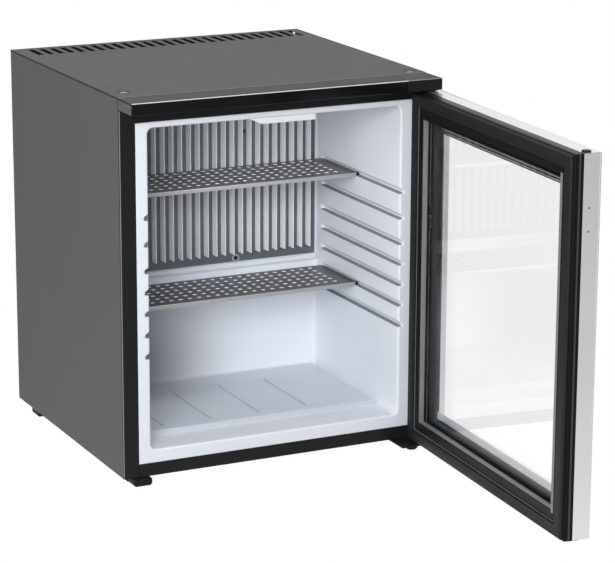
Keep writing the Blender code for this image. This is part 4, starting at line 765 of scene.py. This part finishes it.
def floor_stations(low, high):
    """Places across the width at which the floor has points: close together at the drain lines."""
    shares = (-1.9, -1.1, -0.7, 0.0, 0.7, 1.1, 1.9)
    stations = [line + share * FLOOR_LINE_WIDTH / 2 for line in FLOOR_LINES for share in shares]
    edge = OPENING_HALF - FLOOR_SIDE_GAP
    for shift in (-0.0030, -0.0012, -0.0006, 0.0, 0.0005):
        stations += [-edge - shift, edge + shift]
    return filled_in(stations, low, high, 0.025)


def corner_arc(x, z, radius, first, steps=7):
    """The points between the ends of a quarter circle that starts at the angle first."""
    angles = [math.radians(first + 90 * step / steps) for step in range(1, steps)]
    return [(x + radius * math.cos(angle), z + radius * math.sin(angle)) for angle in angles]


def liner_outline(grow, y):
    """One loop round the liner at depth y, grown outwards, anticlockwise from the right wall's foot."""
    half, corner = OPENING_HALF + grow, LINER_CORNER + grow
    low, high = OPENING_LOW - grow, OPENING_HIGH + grow
    across = half - corner
    stations = floor_stations(LINER_CORNER - OPENING_HALF, OPENING_HALF - LINER_CORNER)
    depth = GROOVE_DEPTH * (1 - ramp(y, GROOVE_END - GROOVE_RUN_OUT, GROOVE_END))
    levels = side_levels(OPENING_LOW + LINER_CORNER, OPENING_HIGH - LINER_CORNER)
    wall = [(half + depth * groove_share(level), level) for level in levels]
    loop = wall + corner_arc(across, high - corner, corner, 0)
    loop += [(station, high) for station in reversed(stations)]
    loop += corner_arc(-across, high - corner, corner, 90)
    loop += [(-x, z) for x, z in reversed(wall)]
    loop += corner_arc(-across, low + corner, corner, 180)
    loop += [(station, low + floor_rise(station, y)) for station in stations]
    loop += corner_arc(across, low + corner, corner, 270)
    return [(x, y, z) for x, z in loop]


def flange_outline(inset, y):
    """The flange's outer edge, with as many points as a loop of the liner and each beside its own."""
    half, low, high = FLANGE_HALF - inset, FLANGE_LOW + inset, FLANGE_HIGH - inset
    across = OPENING_HALF - LINER_CORNER
    floor, ceiling = OPENING_LOW + LINER_CORNER, OPENING_HIGH - LINER_CORNER
    points = []
    for x, _, z in liner_outline(0, y):
        inner_x = max(-across, min(across, x))
        inner_z = max(floor, min(ceiling, z))
        dx, dz = x - inner_x, z - inner_z
        edge_x = math.copysign(half, dx)
        edge_z = high if z > (low + high) / 2 else low
        if abs(dx) < 1e-7:
            points.append((x, y, edge_z))
        elif abs(dz) < 1e-7:
            points.append((edge_x, y, z))
        else:
            reach_x, reach_z = (half - across) / abs(dx), abs(edge_z - inner_z) / abs(dz)
            reach = min(reach_x, reach_z)
            corner = 0.72 < reach_x / reach_z < 1.39
            points.append((edge_x, y, edge_z) if corner else (inner_x + dx * reach, y, inner_z + dz * reach))
    return points


def liner_depths():
    """Depths of the loops: close together at the floor's step, the drain lines and the groove ends."""
    depths = [0.012, 0.03, 0.052]
    depths += [FLOOR_FRONT + shift for shift in (-0.0014, -0.0005, 0.0, 0.0005, 0.0014)]
    depths += [0.07] + [FLOOR_LINE_FRONT + shift for shift in (-0.0022, -0.0008, 0.0002)]
    depths += [0.11, 0.14, 0.17, 0.20] + [FLOOR_LINE_BACK + shift for shift in (-0.0002, 0.001, 0.0022)]
    depths += [GROOVE_END + shift for shift in (-GROOVE_RUN_OUT, -0.0022, -0.0012, 0.0)]
    return depths + [0.270, LINER_DEPTH - LINER_BACK_FILLET]


def liner_finish(x, y, z):
    """The material of a face: 0 white, 1 groove ledge in painted shade, 2 floor step and drain lines in painted
    shade, 3 platform in a darker copy of the white as painted shade.
    """
    over_floor = z - OPENING_LOW
    step = abs(y - FLOOR_FRONT) < 0.0009 and over_floor < FLOOR_RISE
    lined = FLOOR_LINE_FRONT < y < FLOOR_LINE_BACK and 0.002 < over_floor < FLOOR_RISE - 0.0002
    # The step face and the drain lines' walls get painted shade
    if step or (lined and any(abs(x - line) < FLOOR_LINE_WIDTH for line in FLOOR_LINES)):
        return 2
    # The raised floor gets the darker copy of the white: painted shade
    if y > FLOOR_FRONT and over_floor < FLOOR_RISE + 0.0008 and abs(x) < OPENING_HALF - FLOOR_SIDE_GAP:
        return 3
    # Faces low in a groove get the darker copy of the white: painted shade
    deep = abs(x) > OPENING_HALF + 0.0005 and LINER_EDGE < y < GROOVE_END
    rises = [z - centre + GROOVE_HALF_HEIGHT for centre in GROOVE_LEVELS]
    return int(deep and any(-0.0004 < rise < GROOVE_SHADE_RISE for rise in rises))


def make_liner():
    """The moulded liner: flange, rolled edge, walls with shelf grooves, raised floor and back wall."""
    quarter = [math.pi / 2 * step / 5 for step in range(6)]
    loops = [flange_outline(0, FLANGE_LIP), flange_outline(0, FLANGE_EDGE), flange_outline(FLANGE_EDGE, 0.0)]
    loops += [flange_outline(2 * FLANGE_EDGE, 0.0), liner_outline(LINER_EDGE + FLANGE_EDGE, 0.0)]
    for angle in quarter:
        loops.append(liner_outline(LINER_EDGE * (1 - math.sin(angle)), LINER_EDGE * (1 - math.cos(angle))))
    loops += [liner_outline(0, y) for y in liner_depths()]
    for angle in quarter[1:]:
        y = LINER_DEPTH - LINER_BACK_FILLET * (1 - math.sin(angle))
        loops.append(liner_outline(-LINER_BACK_FILLET * (1 - math.cos(angle)), y))
    obj = loft("liner_fine", loops, caps=(-1,))
    centre = cabinet_point(0, LINER_DEPTH, 0.29)
    back = min(obj.data.polygons, key=lambda face: (face.center - centre).length)
    if back.normal.y > 0:
        obj.data.flip_normals()
    smoothed(thickened(obj, LINER_WALL), 50)
    painted(obj, LINER_WHITE, GROOVE_SHADE, STEP_SHADE, FLOOR_SHADE_WHITE)
    for face in obj.data.polygons:
        face.material_index = liner_finish(*(face.center - CABINET))
    finished(obj, "cabinet", "white_plastic", "liner")


# Repeated pieces


def geometry_tree(name, **inputs):
    tree = bpy.data.node_groups.new(name, "GeometryNodeTree")
    for way in ("INPUT", "OUTPUT"):
        tree.interface.new_socket("Geometry", in_out=way, socket_type="NodeSocketGeometry")
    for key, kind in inputs.items():
        tree.interface.new_socket(key, in_out="INPUT", socket_type="NodeSocket" + kind)
    given = tree.nodes.new("NodeGroupInput").outputs
    return tree, Wiring(tree), given, tree.nodes.new("NodeGroupOutput").inputs


def hand_out(wire, given, out, shape):
    """Ends a tree with the shape in the tree's material."""
    inputs = {"Geometry": shape, "Material": given["Material"]}
    wire.put(out["Geometry"], wire.result("GeometryNodeSetMaterial", inputs))


def grid_tree():
    """Copies the incoming shape over a grid of columns and rows and gives the copies one material."""
    tree, wire, given, out = geometry_tree(
        "repeat_on_grid", Columns="Int", Rows="Int", PitchX="Float", PitchY="Float", Material="Material"
    )
    inputs = {"Vertices X": given["Columns"], "Vertices Y": given["Rows"]}
    for size, count, pitch in (("Size X", "Columns", "PitchX"), ("Size Y", "Rows", "PitchY")):
        inputs[size] = wire.math("MULTIPLY", wire.math("SUBTRACT", given[count], 1.0), given[pitch])
    points = wire.result("GeometryNodeMeshGrid", inputs)
    copies = wire.result("GeometryNodeInstanceOnPoints", {"Points": points, "Instance": given["Geometry"]})
    real = wire.result("GeometryNodeRealizeInstances", {"Geometry": copies})
    welded = wire.result("GeometryNodeMergeByDistance", {"Geometry": real, "Distance": 0.00002})
    hand_out(wire, given, out, welded)
    return tree


def pipe_tree():
    """A round pipe along the incoming line, with its corners bent to a radius."""
    tree, wire, given, out = geometry_tree(
        "pipe_along_line", Radius="Float", Bend="Float", Material="Material"
    )
    line = wire.result("GeometryNodeMeshToCurve", {"Mesh": given["Geometry"]})
    inputs = {"Curve": line, "Count": 9, "Radius": given["Bend"], "Limit Radius": True}
    bent = wire.result("GeometryNodeFilletCurve", inputs, mode="POLY")
    section = wire.result("GeometryNodeCurvePrimitiveCircle", {"Resolution": 24, "Radius": given["Radius"]})
    inputs = {"Curve": bent, "Profile Curve": section, "Fill Caps": True}
    hand_out(wire, given, out, wire.result("GeometryNodeCurveToMesh", inputs))
    return tree


GRID_TREE = grid_tree()
PIPE_TREE = pipe_tree()


def run_tree(obj, tree, **inputs):
    """Runs a tree on an object with its inputs by name, and keeps the result as a plain mesh."""
    modifier = obj.modifiers.new(tree.name, "NODES")
    modifier.node_group = tree
    for item in tree.interface.items_tree:
        if item.name in inputs:
            modifier[item.identifier] = inputs[item.name]
    return baked(obj)


def repeated(name, unit, counts, pitch, material, place):
    """One shape repeated over a grid that is centred on its origin, then moved by the matrix place."""
    sizes = dict(zip(("Columns", "Rows", "PitchX", "PitchY"), (*counts, *pitch)))
    obj = run_tree(new_object(name, unit), GRID_TREE, Material=material, **sizes)
    obj.data.transform(place)
    return obj


# Shelves


def turn_of(vert):
    """The angle of a point round the middle, from 0 to a full turn."""
    return math.atan2(vert.co.y, vert.co.x) % (2 * math.pi)


def holed_tile(width, length, radius):
    """A rectangle with a round hole, as flat faces."""
    bm = bmesh.new()
    inner, outer = [], []
    for index in range(SHELF_HOLE_SIDES):
        angle = 2 * math.pi * (index + 0.5) / SHELF_HOLE_SIDES
        cx, cy = math.cos(angle), math.sin(angle)
        inner.append(bm.verts.new((radius * cx, radius * cy, 0)))
        reach = min(width / 2 / max(abs(cx), 1e-9), length / 2 / max(abs(cy), 1e-9))
        outer.append(bm.verts.new((reach * cx, reach * cy, 0)))
    ways = ((1, 1), (-1, 1), (-1, -1), (1, -1))
    corners = [bm.verts.new((way_x * width / 2, way_y * length / 2, 0)) for way_x, way_y in ways]
    for index in range(SHELF_HOLE_SIDES):
        after = (index + 1) % SHELF_HOLE_SIDES
        first, last = turn_of(outer[index]), turn_of(outer[after])
        if last < first:
            last += 2 * math.pi
        between = [corner for corner in corners if first < turn_of(corner) < last]
        bm.faces.new([inner[index], outer[index], *between, outer[after], inner[after]])
    return mesh_from("tile", bm)


def rectangle(half, front, back):
    return ((-half, front), (half, front), (half, back), (-half, back))


def fold_down(bm, start, stop, top, drop, index):
    """A strip folded down from a sheet's edge: a quarter round, then straight to its full drop."""
    along = (stop - start).normalized()
    outward = Vector((along.y, -along.x, 0))
    previous = None
    for step in range(6):
        angle = math.pi / 2 * min(step, 4) / 4
        reach = SHELF_BEND * (math.sin(angle) - 1)
        level = top - (drop if step == 5 else SHELF_BEND * (1 - math.cos(angle)))
        trim = along * (SHELF_BEND if step == 0 else SHELF_NOTCH)
        ends = [start + trim + outward * reach, stop - trim + outward * reach]
        row = [bm.verts.new((end.x, end.y, level)) for end in ends]
        if previous:
            bm.faces.new((previous[0], previous[1], row[1], row[0])).material_index = index
        previous = row


def make_shelf(node):
    """A perforated steel shelf: a holed field, plain margins, and edges folded down all round.

    Its materials are 0 sheet, 1 the sheet's cut edge, 2 front lip and 3 the lip's cut edge. The lip is a
    lighter copy of the sheet as painted highlight; the cut edges are near white, bare steel with painted
    highlight.
    """
    low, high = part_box(node)
    front, back, top = low.y, high.y, high.z
    middle, half = (low.x + high.x) / 2, (high.x - low.x) / 2
    field_half = SHELF_HOLES[0] * SHELF_PITCH[0] / 2
    field_front = front + SHELF_FIRST_ROW - SHELF_PITCH[1] / 2
    field_back = field_front + SHELF_HOLES[1] * SHELF_PITCH[1]
    tile = holed_tile(*SHELF_PITCH, SHELF_HOLE_RADIUS)
    place = Matrix.Translation((middle, (field_front + field_back) / 2, top))
    field = repeated(node + "_field", tile, SHELF_HOLES, SHELF_PITCH, SHELF_METAL, place)
    bm = bmesh.new()
    bm.from_mesh(field.data)
    for face in bm.faces:
        face.material_index = 0
    bpy.data.objects.remove(field)
    rim = rectangle(half - SHELF_BEND, front + SHELF_BEND, back - SHELF_BEND)
    inner = rectangle(field_half, field_front, field_back)
    outer_row, inner_row = [[bm.verts.new((middle + x, y, top)) for x, y in row] for row in (rim, inner)]
    for index in range(4):
        bm.faces.new((outer_row[index - 1], outer_row[index], inner_row[index], inner_row[index - 1]))
    corners = [Vector((middle + x, y, 0)) for x, y in rectangle(half, front, back)]
    drops = (SHELF_FRONT_DROP, SHELF_SIDE_DROP, SHELF_REAR_DROP, SHELF_SIDE_DROP)
    for side, drop in enumerate(drops):
        lip = 2 if side == 0 else 0
        fold_down(bm, corners[side], corners[(side + 1) % 4], top, drop - SHELF_SHEET / 2, lip)
    bmesh.ops.remove_doubles(bm, verts=bm.verts, dist=2e-6)
    bmesh.ops.recalc_face_normals(bm, faces=bm.faces)
    obj = new_object(node + "_fine", mesh_from(node + "_fine", bm))
    for material in (SHELF_METAL, SHELF_EDGE_HIGHLIGHT, SHELF_LIP_HIGHLIGHT, SHELF_EDGE_HIGHLIGHT):
        obj.data.materials.append(material)
    flat = max(obj.data.polygons, key=lambda face: face.area)
    if flat.normal.z < 0:
        obj.data.flip_normals()
    smoothed(thickened(obj, SHELF_SHEET, rim=1), 40)
    finished(obj, body_of(node), "shelf_steel", node)


# Evaporator


def fin_unit(height):
    """One upright fin with a rounded tip. Its root is at Y = 0 and it reaches towards -Y."""
    half = FIN_THICKNESS / 2
    tip = -FIN_DEPTH + half
    flank = [(half * 1.5, 0.0003), (half * 1.1, -FIN_ROOT), (half, tip)]
    outline = [(-x, y) for x, y in flank]
    for step in range(1, 4):
        angle = math.pi + math.pi * step / 4
        outline.append((half * math.cos(angle), tip + half * math.sin(angle)))
    outline += flank[::-1]
    return lofted("fin", [[(x, y, z) for x, y in outline] for z in (0, height)], caps=(0, 1))


def make_evaporator():
    """A plate painted dark as the shade between the fins, with a comb of bright fins that have rounded tips and
    roots.
    """
    plate = bevelled(merged_copy("evaporator_plate", "evaporator_plate_eased"), 0.0002, 1)
    painted(plate, PLATE_SHADE_METAL, FIN_METAL)
    # Faces on the plate's front get the dark copy: painted shade; the rest keep the bright aluminium
    for face in plate.data.polygons:
        face.material_index = int(face.center.y < CABINET.y + PLATE_FACE - 0.0006)
    finished(plate, "cabinet", "fin_aluminium", "evaporator_plate")
    place = Matrix.Translation(cabinet_point(0, PLATE_FACE, FIN_LOW))
    unit = fin_unit(FIN_HIGH - FIN_LOW)
    fins = repeated("evaporator_fins", unit, (FIN_COUNT, 1), (FIN_PITCH, 0.01), FIN_METAL, place)
    finished(smoothed(fins, 40), "cabinet", "fin_aluminium")


# Cooling unit


def pipe(name, points, replaced, bend=PIPE_BEND):
    """A bent pipe along points in the cabinet's frame."""
    bm = bmesh.new()
    verts = [bm.verts.new(cabinet_point(*point)) for point in points]
    for first, second in zip(verts, verts[1:]):
        bm.edges.new((first, second))
    line = new_object(name, mesh_from(name, bm))
    obj = run_tree(line, PIPE_TREE, Radius=PIPE_RADIUS, Bend=bend, Material=PIPE_PAINT)
    finished(smoothed(obj, 50), "cabinet", "painted_pipe", replaced)


def make_condenser_fins():
    half, short = CONDENSER_FIN_SIZE / 2, CONDENSER_FIN_SIZE / 2 - CONDENSER_FIN_CORNER
    outline = [(half, short), (short, half), (-short, half), (-half, short)]
    outline += [(-y, -z) for y, z in outline]
    sides = (-CONDENSER_FIN_SHEET / 2, CONDENSER_FIN_SHEET / 2)
    unit = lofted("condenser_fin", [[(x, y, z) for y, z in outline] for x in sides], caps=(0, 1))
    length = (CONDENSER_FIN_COUNT - 1) * CONDENSER_FIN_PITCH + CONDENSER_FIN_SHEET
    middle = cabinet_point(CONDENSER_FIRST_FIN + length / 2, UNIT_Y, CONDENSER_MIDDLE)
    place = Matrix.Translation(middle)
    counts, pitch = (CONDENSER_FIN_COUNT, 1), (CONDENSER_FIN_PITCH, 0.01)
    finished(repeated("condenser_fins", unit, counts, pitch, PIPE_PAINT, place), "cabinet", "painted_pipe")


def weld(name, x, z, axis="Z", radius=PIPE_RADIUS):
    """A bead round a joint of two pipes."""
    profile = [(radius - 0.001, -0.0028)]
    for step in range(7):
        angle = math.pi * step / 6
        profile.append((radius - 0.0002 + 0.0016 * math.sin(angle), -0.0024 * math.cos(angle)))
    profile.append((radius - 0.001, 0.0028))
    bead = lathe(name, profile, (x, UNIT_Y, z), axis)
    finished(painted(bead, WELD), "cabinet", "painted_pipe")


def make_vessel():
    """The round vessel at the bottom, with domed ends."""
    length = VESSEL_RIGHT - VESSEL_LEFT
    dome = []
    for step in range(8):
        angle = math.pi / 2 * step / 8
        dome.append((VESSEL_RADIUS * math.sin(angle) + 0.0005, VESSEL_DOME * (1 - math.cos(angle))))
    profile = dome + [(VESSEL_RADIUS, VESSEL_DOME), (VESSEL_RADIUS, length - VESSEL_DOME)]
    profile += [(radius, length - along) for radius, along in reversed(dome)]
    vessel = lathe("absorber_vessel_round", profile, (VESSEL_LEFT, UNIT_Y, VESSEL_Z), "X")
    finished(painted(vessel, PIPE_PAINT), "cabinet", "painted_pipe", "absorber_vessel")


def make_cooling_unit():
    """The pipes of the cooling unit, from the absorber at the bottom to the condenser under the top."""
    vessel_top = VESSEL_Z + VESSEL_RADIUS
    path = [(COIL_LEFT, UNIT_Y, vessel_top + 0.0003)]
    for turn in range(COIL_PASSES):
        ends = (COIL_LEFT, COIL_RIGHT) if turn % 2 == 0 else (COIL_RIGHT, COIL_LEFT)
        path += [(x, UNIT_Y, COIL_LOW + turn * COIL_PITCH) for x in ends]
    path.append((COIL_LEFT, UNIT_Y, COIL_TOP))
    pipe("absorber_coil_bent", path, "absorber_coil", COIL_PITCH / 2 - 0.0002)
    path = [(UNIT_Y, COIL_TOP), (UNIT_Y, COLD_LOW), (COLD_PIPE_Y, COLD_LOW), (COLD_PIPE_Y, COLD_HIGH)]
    path += [(UNIT_Y, COLD_HIGH), (UNIT_Y, CONDENSER_TAIL)]
    pipe("evaporator_pipe_bent", [(COIL_LEFT, y, z) for y, z in path], "evaporator_pipe")
    path = [(CONDENSER_END, CONDENSER_HIGH), (COIL_LEFT, CONDENSER_LOW), (COIL_LEFT, CONDENSER_TAIL)]
    pipe("condenser_pipe_bent", [(x, UNIT_Y, z) for x, z in path], "condenser")
    make_condenser_fins()
    path = [(BOILER_X, BOILER_TOP), (BOILER_X, CONDENSER_HIGH), (CONDENSER_END, CONDENSER_HIGH)]
    pipe("rectifier_tube_bent", [(x, UNIT_Y, z) for x, z in path], "rectifier_tube")
    make_vessel()
    weld("coil_foot_weld", COIL_LEFT, vessel_top + 0.001)
    weld("coil_head_weld", COIL_LEFT, COIL_TOP)
    weld("condenser_tail_weld", COIL_LEFT, CONDENSER_TAIL)
    weld("condenser_end_weld", CONDENSER_END, CONDENSER_HIGH, "X")
    weld("boiler_head_weld", BOILER_X, BOILER_TOP + 0.002)
    weld("vessel_weld_left", VESSEL_LEFT + VESSEL_DOME, VESSEL_Z, "X", VESSEL_RADIUS)
    weld("vessel_weld_right", VESSEL_RIGHT - VESSEL_DOME, VESSEL_Z, "X", VESSEL_RADIUS)


def screw_head(radius, height):
    """A round screw head that stands on the ground and has a driver's cross pressed into it."""
    rows = []
    for share, level in ((1.0, 0.0), (1.0, 0.45), (0.86, 0.8), (0.5, 1.0), (0.22, 1.0), (0.18, 0.35)):
        row = []
        for step, (x, y) in enumerate(circle(radius * share, 24)):
            stretch = 1.0 if share > 0.3 else 1.9 if step % 6 == 0 else 0.6
            row.append((x * stretch, y * stretch, height * level))
        rows.append(row)
    return lofted("screw_head", rows, caps=(-1,))


def make_panel_screws():
    """Two upright rows of screws that hold the back panel to the side panels' folds."""
    low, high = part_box("back_panel")
    pitch = (high.x - low.x - 0.016, (high.z - low.z - 0.06) / (SCREW_ROWS - 1))
    centre = Vector(((low.x + high.x) / 2, high.y - 0.0001, (low.z + high.z) / 2))
    place = Matrix.Translation(centre) @ Matrix.Rotation(math.radians(-90), 4, "X")
    screws = repeated("back_panel_screws", screw_head(*SCREW_HEAD), (2, SCREW_ROWS), pitch, ZINC, place)
    finished(smoothed(screws, 40), "cabinet", "zinc")


# Details


def door_ring(name, material, slot, outer, inner, front, back):
    """A strip that runs round the door."""
    loops = []
    for inset, y in ((outer, back), (outer, front), (inner, front), (inner, back)):
        x, low, high = HALF - inset, DOOR_LOW + inset, DOOR_HIGH - inset
        loops.append([(-x, y, low), (x, y, low), (x, y, high), (-x, y, high)])
    obj = smoothed(loft(name, loops, ring=True, place=door_point))
    return finished(painted(obj, material), "door", slot)


def make_door_details():
    """Thin strips on the door's inner side, and the printed border of its outer pane."""
    trim = door_ring("door_trim_ring", TRIM_GREY, "black_plastic", *TRIM_RING)
    trim.data.materials.append(DOOR_PLASTIC)
    for face in trim.data.polygons:
        face.material_index = int(face.center.z > DOOR_HIGH - 0.0375)
    door_ring("printed_border", BLACK_AND_SHADE, "glass", *PRINTED_BORDER)
    across, high = HALF - PRINT_INSET, DOOR_HIGH
    for name, material, right, front, z in (
        ("printed_band_top", BLACK_AND_SHADE, across, 0.0003, (high - 0.058, high - 0.046)),
        ("pale_band_bottom", PALE_BAND, across, 0.0005, (DOOR_LOW + 0.0415, DOOR_LOW + 0.0530)),
        ("printed_line_high", PALE_BAND, across - 0.01, 0.0006, (high - 0.0513, high - 0.0505)),
        ("printed_line_low", PALE_BAND, across - 0.01, 0.0006, (high - 0.0558, high - 0.0550)),
    ):
        back = 0.0002 if "line" in name else 0.0001
        y = (OUTER_PANE_Y + back, OUTER_PANE_Y + front)
        slab(name, material, "glass", (-across, right), y, z, "door", door_point)
    x = [inset - HALF for inset in FREE_LIP_INSET]
    z = (DOOR_LOW + 0.031, DOOR_HIGH - 0.031)
    slab("free_side_lip", TRIM_GREY, "black_plastic", x, (-0.0056, -0.0048), z, "door", door_point)
    # A grey line along the gasket's inner edge: painted highlight
    door_ring("gasket_inner_line", GREY_HIGHLIGHT, "rubber", *GASKET_LINE)
    door_ring("door_edge_line", DARK_ZINC, "black_plastic", *EDGE_LINE)
    door_ring("door_edge_shadow", DOOR_PLASTIC, "black_plastic", *EDGE_SHADOW)


def make_joint_shade_and_highlights():
    """Painted shadow in the joints and painted highlights on the edges of the top cover, the trim and the left
    stile.
    """
    for (side, name), front in zip(SIDES, (TRIM_FRONT + 0.0006, 0.0062)):
        x, y = mirrored(side, HALF - 0.0014, HALF + 0.0003), (front, DEPTH - 0.0008)
        # Black strips in the joints of the top cover and the trim: painted shadow in the seams
        slab("cover_joint_shadow_" + name, BLACK_AND_SHADE, "black_steel", x, y, (TOP - 0.0025, TOP + 0.0002))
    skin, inner = -HALF - 0.00016, HALF - 0.0004
    y, z = (TRIM_BACK, TRIM_BACK + 0.0014), (TRIM_LOW, TOP - 0.0012)
    slab("trim_joint_shadow_left", BLACK_AND_SHADE, "black_steel", (skin, 0.0006 - HALF), y, z)
    # Painted highlights along the front top edge of the trim and of the hinge cover
    y, z = (TRIM_FRONT - 0.0003, TRIM_FRONT + 0.0006), (TOP - 0.0008, TOP + 0.0003)
    slab("trim_edge_painted_highlight", PAINTED_HIGHLIGHT, "grey_steel", (-inner, COVER_SEAM), y, z)
    slab("hinge_cover_edge_highlight", GREY_HIGHLIGHT, "grey_steel", (COVER_SEAM, inner), y, z)
    # Painted highlights along the trim's rear seam and the left stile's edge
    y, z = (TRIM_BACK, TRIM_BACK + 0.0011), (TOP - 0.0005, TOP + 0.0002)
    slab("trim_seam_highlight", GREY_HIGHLIGHT, "grey_steel", (-inner, inner), y, z)
    x, y = (skin, 0.0007 - HALF), (-0.0003, 0.0007)
    slab("stile_edge_left_highlight", GREY_HIGHLIGHT, "black_steel", x, y, STILE_HEIGHTS)


def disc(name, radius, low, high, centre, slot, axis="Z"):
    spot = lathe(name, [(radius, low), (radius, high)], centre, axis)
    finished(painted(spot, BLACK_AND_SHADE), "cabinet", slot)


def make_cap_marks(node):
    """Two dark dots and a painted highlight line on one of the top cover's oblong caps."""
    low, high = (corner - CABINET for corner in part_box(node))
    x, y = (low.x + high.x) / 2, (low.y + high.y) / 2
    for side, name in SIDES:
        centre = (x + side * CAP_DOT_REACH, y, high.z)
        disc("%s_dot_%s" % (node, name), CAP_DOT_RADIUS, -0.0001, 0.0006, centre, "black_plastic")
    x, y = (x - 0.0085, x + 0.001), (low.y + 0.0002, low.y + 0.0017)
    slab(node + "_painted_glint", PAINTED_HIGHLIGHT, "black_plastic", x, y, (high.z - 0.0001, high.z + 0.0005))


def make_cabinet_details():
    """Cap marks, black blocks of painted shade at the shelf corners and behind the vents, foot pads and the
    shadow in the drain.
    """
    make_joint_shade_and_highlights()
    make_cap_marks("top_cap_left")
    make_cap_marks("top_cap_right")
    for node in ("shelf_upper", "shelf_lower"):
        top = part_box(node)[1].z
        # Black blocks at the shelves' front corners, where the groove shows shade: painted shade
        y, z = (SHELF_FRONT + 0.0002, SHELF_FRONT + 0.0040), (top - 0.0048, top + 0.0006)
        for side, side_name in SIDES:
            x, name = mirrored(side, *SHELF_CORNER_SHADE), "%s_corner_%s" % (node, side_name)
            slab(name, BLACK_AND_SHADE, "shelf_steel", x, y, z, body_of(node), ease=0.0002)
    # Black strip behind the vent slots: painted shade
    slab("vent_shade_strip", BLACK_AND_SHADE, "black_plastic", *VENT_SHADE_STRIP, ease=0.0002)
    slab("foot_pad_front_left", FOOT_RUBBER, "rubber", *FRONT_PAD, FOOT_PAD_HEIGHTS, ease=0.0006)
    for side, name in SIDES:
        x, y = mirrored(side, *REAR_PAD[0]), REAR_PAD[1]
        slab("foot_pad_rear_" + name, FOOT_RUBBER, "rubber", x, y, FOOT_PAD_HEIGHTS, ease=0.0006)
    disc("drain_shadow", DRAIN_SHADOW, -0.0002, 0.0002, DRAIN_PLACE, "rubber", "Y")


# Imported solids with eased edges


def ease_plain_pieces():
    """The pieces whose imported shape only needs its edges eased.

    Each row has a material, a slot, and the width of the eased edges by the start of the nodes' names.
    """
    for material, slot, widths in (
        (CABINET_PAINT, "grey_steel", {"side_panel": 0.0004}),
        (CABINET_PAINT, "black_plastic", {"top_cap": 0.0002}),
        (FRAME_PAINT, "black_steel", {"front_stile": 0.0007, "front_rail": 0.0005}),
        (FRAME_PAINT, "black_steel", {"upper_hinge_bracket": 0.0004, "lower_hinge_bracket": 0.0004}),
        (BLACK_PLASTIC, "black_plastic", {"hinge_cover": 0.0008, "hinge_bush": 0.0002, "door_plug": 0.0005}),
        (BLACK_PLASTIC, "black_plastic", {"control_box": 0.002, "evaporation_tray": 0.0005}),
        (DRAIN_LIT_GREY, "black_plastic", {"drain_spout": 0.0002}),
        (DOOR_PLASTIC, "black_plastic", {"door_inner_frame": 0.0008}),
        (GASKET, "rubber", {"door_gasket": 0.0006}),
        (FOOT_RUBBER, "rubber", {"foot": 0.0006}),
        (BLACK_AND_SHADE, "galvanised", {"glass_spacer": 0.0004}),
        (BLACK_AND_SHADE, "zinc", {"evaporator_screw": 0.0002}),
        (LAMP_WHITE, "lamp_white", {"lamp_housing": 0.0010, "lamp_lens": 0.0004}),
        (LINER_WHITE, "white_plastic", {"drip_gutter": 0.0004}),
        (FIN_METAL, "fin_aluminium", {"cold_block": 0.0008}),
        (ZINC, "zinc", {"upper_hinge_pin": 0.0002, "lower_hinge_pin": 0.0002, "heating_element": 0.0002}),
        (GALVANISED, "galvanised", {"back_panel": 0.0002, "base_panel": 0.0003, "rear_crossbar": 0.0004}),
        (GALVANISED, "galvanised", {"boiler_bracket": 0.0003, "boiler_casing": 0.001, "vessel_cradle": 0.0003}),
    ):
        for start, width in widths.items():
            for node in [name for name in NODES if name.startswith(start)]:
                eased(node, width, material, slot)


def dress_top():
    """Paint of the top cover, and the trim in darker grey with its left end in the lighter cabinet grey as a
    painted lit side.
    """
    for holder in NODES["top_cover"].material_slots:
        holder.material = CABINET_PAINT
    trim = eased("front_trim", 0.0006, TRIM_PAINT, "grey_steel")
    trim.data.materials.append(CABINET_PAINT)
    # The left end, which faces the side light, gets the lighter grey: painted light
    for face in trim.data.polygons:
        face.material_index = int(face.normal.x < -0.7)
    eased("fascia_strip", 0.0005, FASCIA_GLOSS, "gloss_black", angle=40)


# Assembly

set_camera()
set_floor()
set_light()
make_liner()
make_shelf("shelf_upper")
make_shelf("shelf_lower")
dress_top()
ease_plain_pieces()
for edge in ("top", "bottom", "hinge_side", "free_side"):
    eased("door_profile_" + edge, 0.0002, DOOR_METAL, "satin_aluminium", segments=1)
for pane in ("glass_pane_inner", "glass_pane_outer"):
    eased(pane, 0.0004, GLASS, "glass", segments=1)
make_evaporator()
make_cooling_unit()
make_panel_screws()
make_door_details()
make_cabinet_details()
smooth_copy("drain_hose", GASKET, "rubber")
smooth_copy("insulation", FOAM, "foam")
